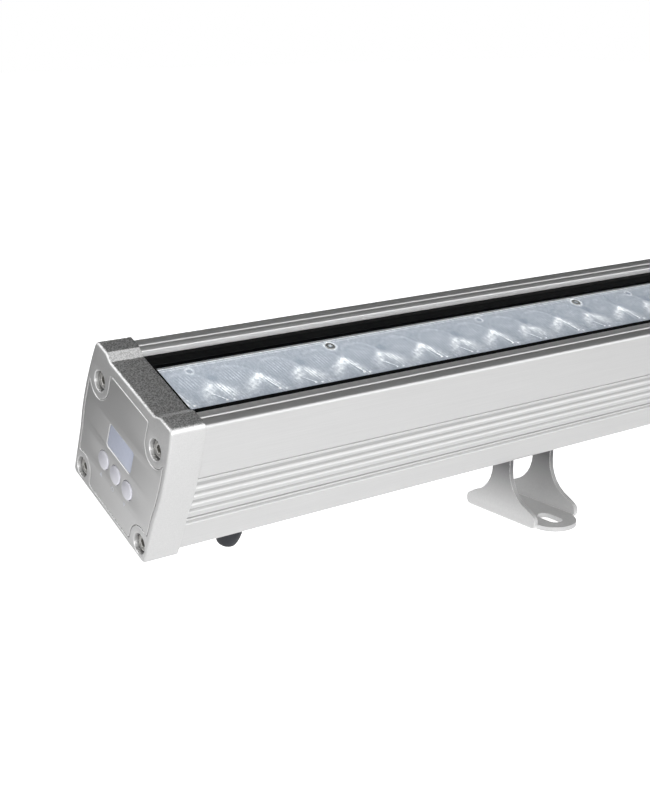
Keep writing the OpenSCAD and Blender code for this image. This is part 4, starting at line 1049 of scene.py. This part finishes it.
def painted_flare(x, y):
    """Painted light in the strip, from 0 to 1: two beams to the front where two lenses meet, and ribs, with
    painted glints, bright rings and dark spots.
    """
    n = np.round((x - END_MARGIN) / LENS_PITCH)
    b, odd, u = x - END_MARGIN - n * LENS_PITCH, np.mod(n, 2) > 0, from_middle(x)
    stripes = 0.62 + 0.38 * ripple(b + LENS_SLANT * y)
    cloud = 0.75 + 0.25 * np.cos(0.9 * y + 0.7 * b) * np.cos(1.3 * b - 0.5 * y)
    vee = (0.75 * beam(b, y, (-0.5, 0), (-12, -11), 4.2) * cloud
           + 0.95 * beam(b, y, (1, 0), (7, -13), 4.0) * stripes)
    fan = (0.7 * beam(b, y, (-2.5, 0), (-9, -11), 4.2) * cloud
           + 0.95 * beam(b, y, (2, -3), (8, -12), 5.4) * stripes)
    light = 0.09 + np.where(odd, fan, vee)
    patch = ripple(u + LENS_SLANT * y) * bump_at(u, 1, 6.5) * between(y, -1, 10, 3)
    light += 0.17 * patch + 0.08 * bump_at(u, 1, 6.5) * bump_at(y, 5, 6)
    light += 0.06 * bump_at(np.hypot(u, y), 11.9, 0.8) * (y > 2) + 0.05 * between(y, 11, 17, 3)
    light -= 0.5 * odd * bump_at(b, 2, 1.7) * bump_at(y, 4.4, 1.7)
    line = np.where(odd, -4.8 - 0.82 * (y + 8), 2 - 0.333 * (y + 4.5))
    span = np.where(odd, between(y, -13.5, -8, 0.8), between(y, -12.6, -4.5, 0.8))
    light += span * (0.9 * bump_at(b - line, 0.4, 0.4) - 0.8 * bump_at(b - line, -0.5, 0.45))
    # Painted glints: small bright spots along the front of the lenses.
    painted_glints = ((-0.3, -13.6, True), (3.4, -14.2, True), (4.8, -12.8, False), (8.2, -13.6, False))
    for b0, y0, at_odd in painted_glints:
        light += (odd == at_odd) * bump_at(b, b0, 0.7) * bump_at(y, y0, 0.5)
    light += 0.5 * rings_at(x, y, SEAT_PLACES, 3.4, 0.8) + 0.35 * rings_at(x, y, PEG_PLACES, 2.2, 0.6)
    light -= 0.45 * rings_at(x, y, PEG_PLACES, 0, 1.1)
    # Painted highlights along the strip's rear edge and at the control end of the first module.
    light += 0.9 * between(y, 17.1, 18.2, 0.4) + 0.35 * bump_at(y, 15.9, 0.35)
    light += 0.6 * bump_at(x, END_MARGIN + 0.6, 0.4)
    return np.clip(light, 0, 1)


# %% Lens finish
def lens_finish():
    """Pale blue-grey to white by the attribute of painted light, broken up by fine grain, under a clear
    coat, with a painted glow as emission.
    """
    material, tree, shader = new_material("lens_plastic")
    painted_light = node(tree, "Attribute", attribute_name="painted_flare").outputs["Fac"]
    grain = grain_in(tree, 420, 1.6, 0.6)
    wobble = times(tree, minus(tree, grain["Mask"], 0.5), plus(tree, times(tree, painted_light, 1.4), 0.1))
    bright = plus(tree, painted_light, wobble, clamp=True)
    steeper = node(tree, "Math", {0: bright, 1: 1.25}, operation="POWER").outputs[0]
    # The base colour carries the painted light, and the emission a painted glow, though the strip is no
    # lamp.
    feed(tree, shader.inputs, {
        "Base Color": mix_color(tree, bright, *PAINTED_FLARE_TONES), "Emission Strength": 0.65,
        "Emission Color": mix_color(tree, steeper, *PAINTED_GLOW_TONES),
        "Roughness": plus(tree, times(tree, grain["Mask"], 0.15), 0.15),
        "Normal": bumps(tree, 0.08, grain["Height"]), "Coat Weight": 0.35, "Coat Roughness": 0.05})
    return material


lens_plastic = lens_finish()
print("lens finish ready")

# %% Lens modules
def lens_module(name, index):
    """One strip: a grid over x and y lifted to the relief, closed by sides and a floor, and its cones."""
    x0, x1 = END_MARGIN + index * MODULE_L + 0.3, END_MARGIN + (index + 1) * MODULE_L - 0.3
    x, y = np.meshgrid(np.linspace(x0, x1, 801), np.linspace(-LENS_HALF, LENS_HALF, 73), indexing="ij")
    top = np.stack([x, y, lens_height(x, y)], -1)
    rim = np.concatenate([top[:, 0], top[-1, 1:], top[-2::-1, -1], top[0, -2:0:-1]])
    foot = rim.copy()
    foot[:, 2] = LENS_TOP - 2
    cone = [[69.2, 0, 0], [69.2, 12.4, 0], [68.8, 12.4, 0], [54.8, 5.2, 0], [54.8, 3.2, 0], [59.8, 2.7, 0],
            [59.8, 0, 0]]
    middles = END_MARGIN + index * MODULE_L + (np.arange(12) + 0.5) * LENS_PITCH
    cones = [turned(cone, (middle, 0, 0), axis=(0, 0, 1), sides=32) for middle in middles]
    sides, floor_face = grid(np.stack([rim, foot])), (foot, [list(range(len(foot)))])
    thing = piece(name + "_strip", [grid(top, round_way=False), sides, floor_face] + cones,
                  "lamp", [name], "lens_plastic", lens_plastic, sharp=60)
    # The painted light of the lenses is stored on the strip's points.
    paint_points(thing, "painted_flare", lambda x, y, z: painted_flare(x, y))


for module_index, module_name in enumerate(("left_lens_module", "middle_lens_module", "right_lens_module")):
    lens_module(module_name, module_index)

# %% [markdown]
# ## Cable glands
#
# A gland is a nylon body with a hexagon against the housing, a domed nut that tapers to the cable's hole,
# a rubber grip inside, and a lock nut on the inner side. All four are turned shapes on one axis that points
# down from the underside.

# %% Glands
def gland_parts():
    """Body, nut, grip and lock nut as profiles of (depth below the housing, radius, flatness)."""
    body = [[-5.7, 4.5, 0], [-5.7, 5.8, 0], [0, 5.8, 0], [0, 7.3, 1], [0.4, 7.7, 1], [4.1, 7.7, 1],
            [4.5, 7.3, 1], [4.5, 5.3, 0], [11.5, 5.3, 0], [11.5, 4.5, 0]]
    a = np.linspace(0, math.pi / 2, 6)
    taper = [[11.5 + 9.9 * math.sin(t) ** 1.4, 4.6 + 2.6 * math.cos(t), 0] for t in a[1:]]
    nut = [[4.5, 5.4, 0], [4.5, 6.9, 0.5], [4.9, 7.2, 0.5], [10.6, 7.2, 0.5], [11.3, 7.0, 0]] + taper + [
        [21.9, 4.1, 0], [21.9, 3.5, 0], [11.5, 3.5, 0], [11.5, 5.4, 0]]
    grip = [[3.5, 3.5, 0], [3.5, 4.5, 0], [11.5, 4.5, 0], [11.5, 3.5, 0]]
    lock = [[-2.5, 5.9, 0], [-2.5, 7.5, 1], [-2.8, 7.7, 1], [-5.2, 7.7, 1], [-5.5, 7.5, 1], [-5.5, 5.9, 0]]
    return {"body": body, "nut": nut, "grip": grip, "locknut": lock}


def ring(profile, origin):
    """A turned profile that closes on itself, round the axis straight down."""
    rows = np.asarray(profile, float)
    points, _ = turned(rows, origin, axis=(0, 0, -1), sides=48)
    return grid(points.reshape(len(rows), 48, 3), along_way=True)


for gland_name, gland_x in (("supply", GLAND_X), ("link", LAMP_L - GLAND_X)):
    for part, profile in gland_parts().items():
        gland_node = f"{gland_name}_gland_{part}"
        look = ("black_rubber", gasket_rubber) if part == "grip" else ("gland_plastic", gland_plastic)
        made = ring(profile, (gland_x, GLAND_Y, SKIN))
        piece(gland_node + "_turned", [made], "lamp", [gland_node], *look)

# %% [markdown]
# ## Brackets, sliders and pivots
#
# A bracket is one sheet of steel, cut, folded up at both sides and painted. Its shape is already right in
# the CAD, but its edges are knife sharp there. So a copy of the CAD mesh is merged, its flat triangles are
# joined, and a Bevel modifier rounds what the press and the paint would round.

# %% Rounded copies
def rounded_copy(node_name, body, material, width, segments=3):
    """A copy of a CAD node with doubles merged, flat faces joined and its sharp edges bevelled."""
    mesh = frame["nodes"][node_name].data.copy()
    mesh.name = node_name + "_rounded"
    mesh.materials.clear()
    mesh.materials.append(material)
    if "custom_normal" in mesh.attributes:
        mesh.attributes.remove(mesh.attributes["custom_normal"])
    tidy(mesh, 30, merge=2e-6, join_flat=True)
    thing = new_object(node_name + "_rounded", mesh)
    bevel = thing.modifiers.new("edges", "BEVEL")
    bevel.width, bevel.segments, bevel.limit_method = width, segments, "ANGLE"
    bevel.angle_limit = math.radians(35)
    bevel.harden_normals = False
    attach(thing, body)
    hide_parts(node_name)
    print(node_name, len(mesh.polygons), "faces before the bevel")


for side in ("left", "right"):
    rounded_copy(side + "_bracket", side + "_bracket", paint, 0.0005)
    rounded_copy(side + "_slider", side + "_slider", slider_metal, 0.0004)
    rounded_copy(side + "_grub_screws", side + "_slider", steel, 0.0002, 2)
    for part in ("pivot_bolt", "pivot_nut", "washers"):
        part_node = f"{side}_{part}"
        rounded_copy(part_node, body_of(frame["nodes"][part_node])[0], steel, 0.0002, 2)

# %% [markdown]
# ## Floor and light
#
# The lamp stands on a white floor before a white background. Both are white because of their own colour:
# what the camera sees there is plain white, and the floor adds the object's soft shadow. The light comes
# mostly from the front and low, from the floor and a soft panel beside the control end, and little from
# above, which leaves the glass side darker than the ribbed one. A second panel lights the lamp's back.

# %% Floor
def shade_from(tree, direction, away, low, high):
    """A smooth step of how far a ray of light points to one side of the sky, from 0 to 1."""
    inputs = {"Value": dot_product(tree, direction, away), "From Min": low, "From Max": high}
    return node(tree, "MapRange", inputs, interpolation_type="SMOOTHSTEP").outputs["Result"]


def floor_finish():
    """White paper that gives light, grey to mirrors behind the control end, and clear from below."""
    material, tree, paper = new_material("studio_floor")
    feed(tree, paper.inputs, {"Base Color": (0.8, 0.8, 0.8, 1), "Roughness": 1, "Specular IOR Level": 0})
    ray = node(tree, "LightPath").outputs
    seen = times(tree, ray["Is Camera Ray"], 0.42)
    grey = times(tree, shade_from(tree, object_place(tree), (-0.5, 1, 0), 0.1, 0.75), 0.93)
    away = times(tree, times(tree, grey, ray["Is Diffuse Ray"]), 0.4)
    glow = node(tree, "Emission", {"Strength": minus(tree, plus(tree, seen, 0.66), away)}).outputs[0]
    graded = node(tree, "Emission", {"Strength": minus(tree, 1.0, grey)}).outputs[0]
    lit = node(tree, "AddShader", {0: paper.outputs[0], 1: glow}).outputs[0]
    above = mix_shaders(tree, ray["Is Glossy Ray"], lit, graded)
    below = node(tree, "BsdfTransparent").outputs[0]
    show(tree, mix_shaders(tree, node(tree, "NewGeometry").outputs["Backfacing"], above, below))
    return material


floor_mesh = bpy.data.meshes.new("floor")
floor_mesh.from_pydata([(-6, -6, 0), (6, -6, 0), (6, 6, 0), (-6, 6, 0)], [], [(0, 1, 2, 3)])
floor_mesh.materials.append(floor_finish())
floor = new_object("floor", floor_mesh)
print("floor ready")


# %% World and lamps
def build_world():
    """White to the camera, dim as light; in reflections dark above the far end, with two bright places."""
    world = bpy.data.worlds.new("studio")
    bpy.context.scene.world = world
    world.use_nodes = True
    tree = world.node_tree
    sky = node(tree, "TexCoord").outputs["Generated"]
    ray = node(tree, "LightPath").outputs
    soft = minus(tree, 0.42, times(tree, shade_from(tree, sky, (0, -0.1, 0.99), 0, 0.75), 0.36))
    above = times(tree, shade_from(tree, sky, (0.57, 0.45, 0.68), 0.56, 0.84), 0.97)
    left = times(tree, shade_from(tree, sky, (-0.62, 0.25, 0.74), 0.75, 0.95), 1.6)
    right = times(tree, shade_from(tree, sky, (0.58, -0.74, 0.34), 0.8, 0.96), 1.7)
    shiny = times(tree, plus(tree, plus(tree, left, right), minus(tree, 1.0, above)), ray["Is Glossy Ray"])
    level = plus(tree, shiny, times(tree, soft, minus(tree, 1.0, ray["Is Glossy Ray"])))
    most = node(tree, "Math", {0: level, 1: ray["Is Camera Ray"]}, operation="MAXIMUM").outputs[0]
    feed(tree, tree.nodes["Background"].inputs, {"Strength": most, "Color": WHITE})


def soft_panel(name, place, aim, size, watts):
    """A square area lamp at a place, turned towards what it lights."""
    data = bpy.data.lights.new(name, "AREA")
    data.shape, data.size, data.energy = "SQUARE", size, watts
    lamp = new_object(name, data)
    lamp.location = place
    lamp.visible_camera = False
    lamp.rotation_euler = (Vector(aim) - Vector(place)).to_track_quat("-Z", "Y").to_euler()


build_world()
soft_panel("front_panel", (-0.42, -0.72, 0.12), (-0.16, 0, 0.06), 0.24, 2.4)
soft_panel("rear_panel", (0.25, 1.3, 0.3), (0.2, 0, 0.08), 0.8, 9)
print("light ready")
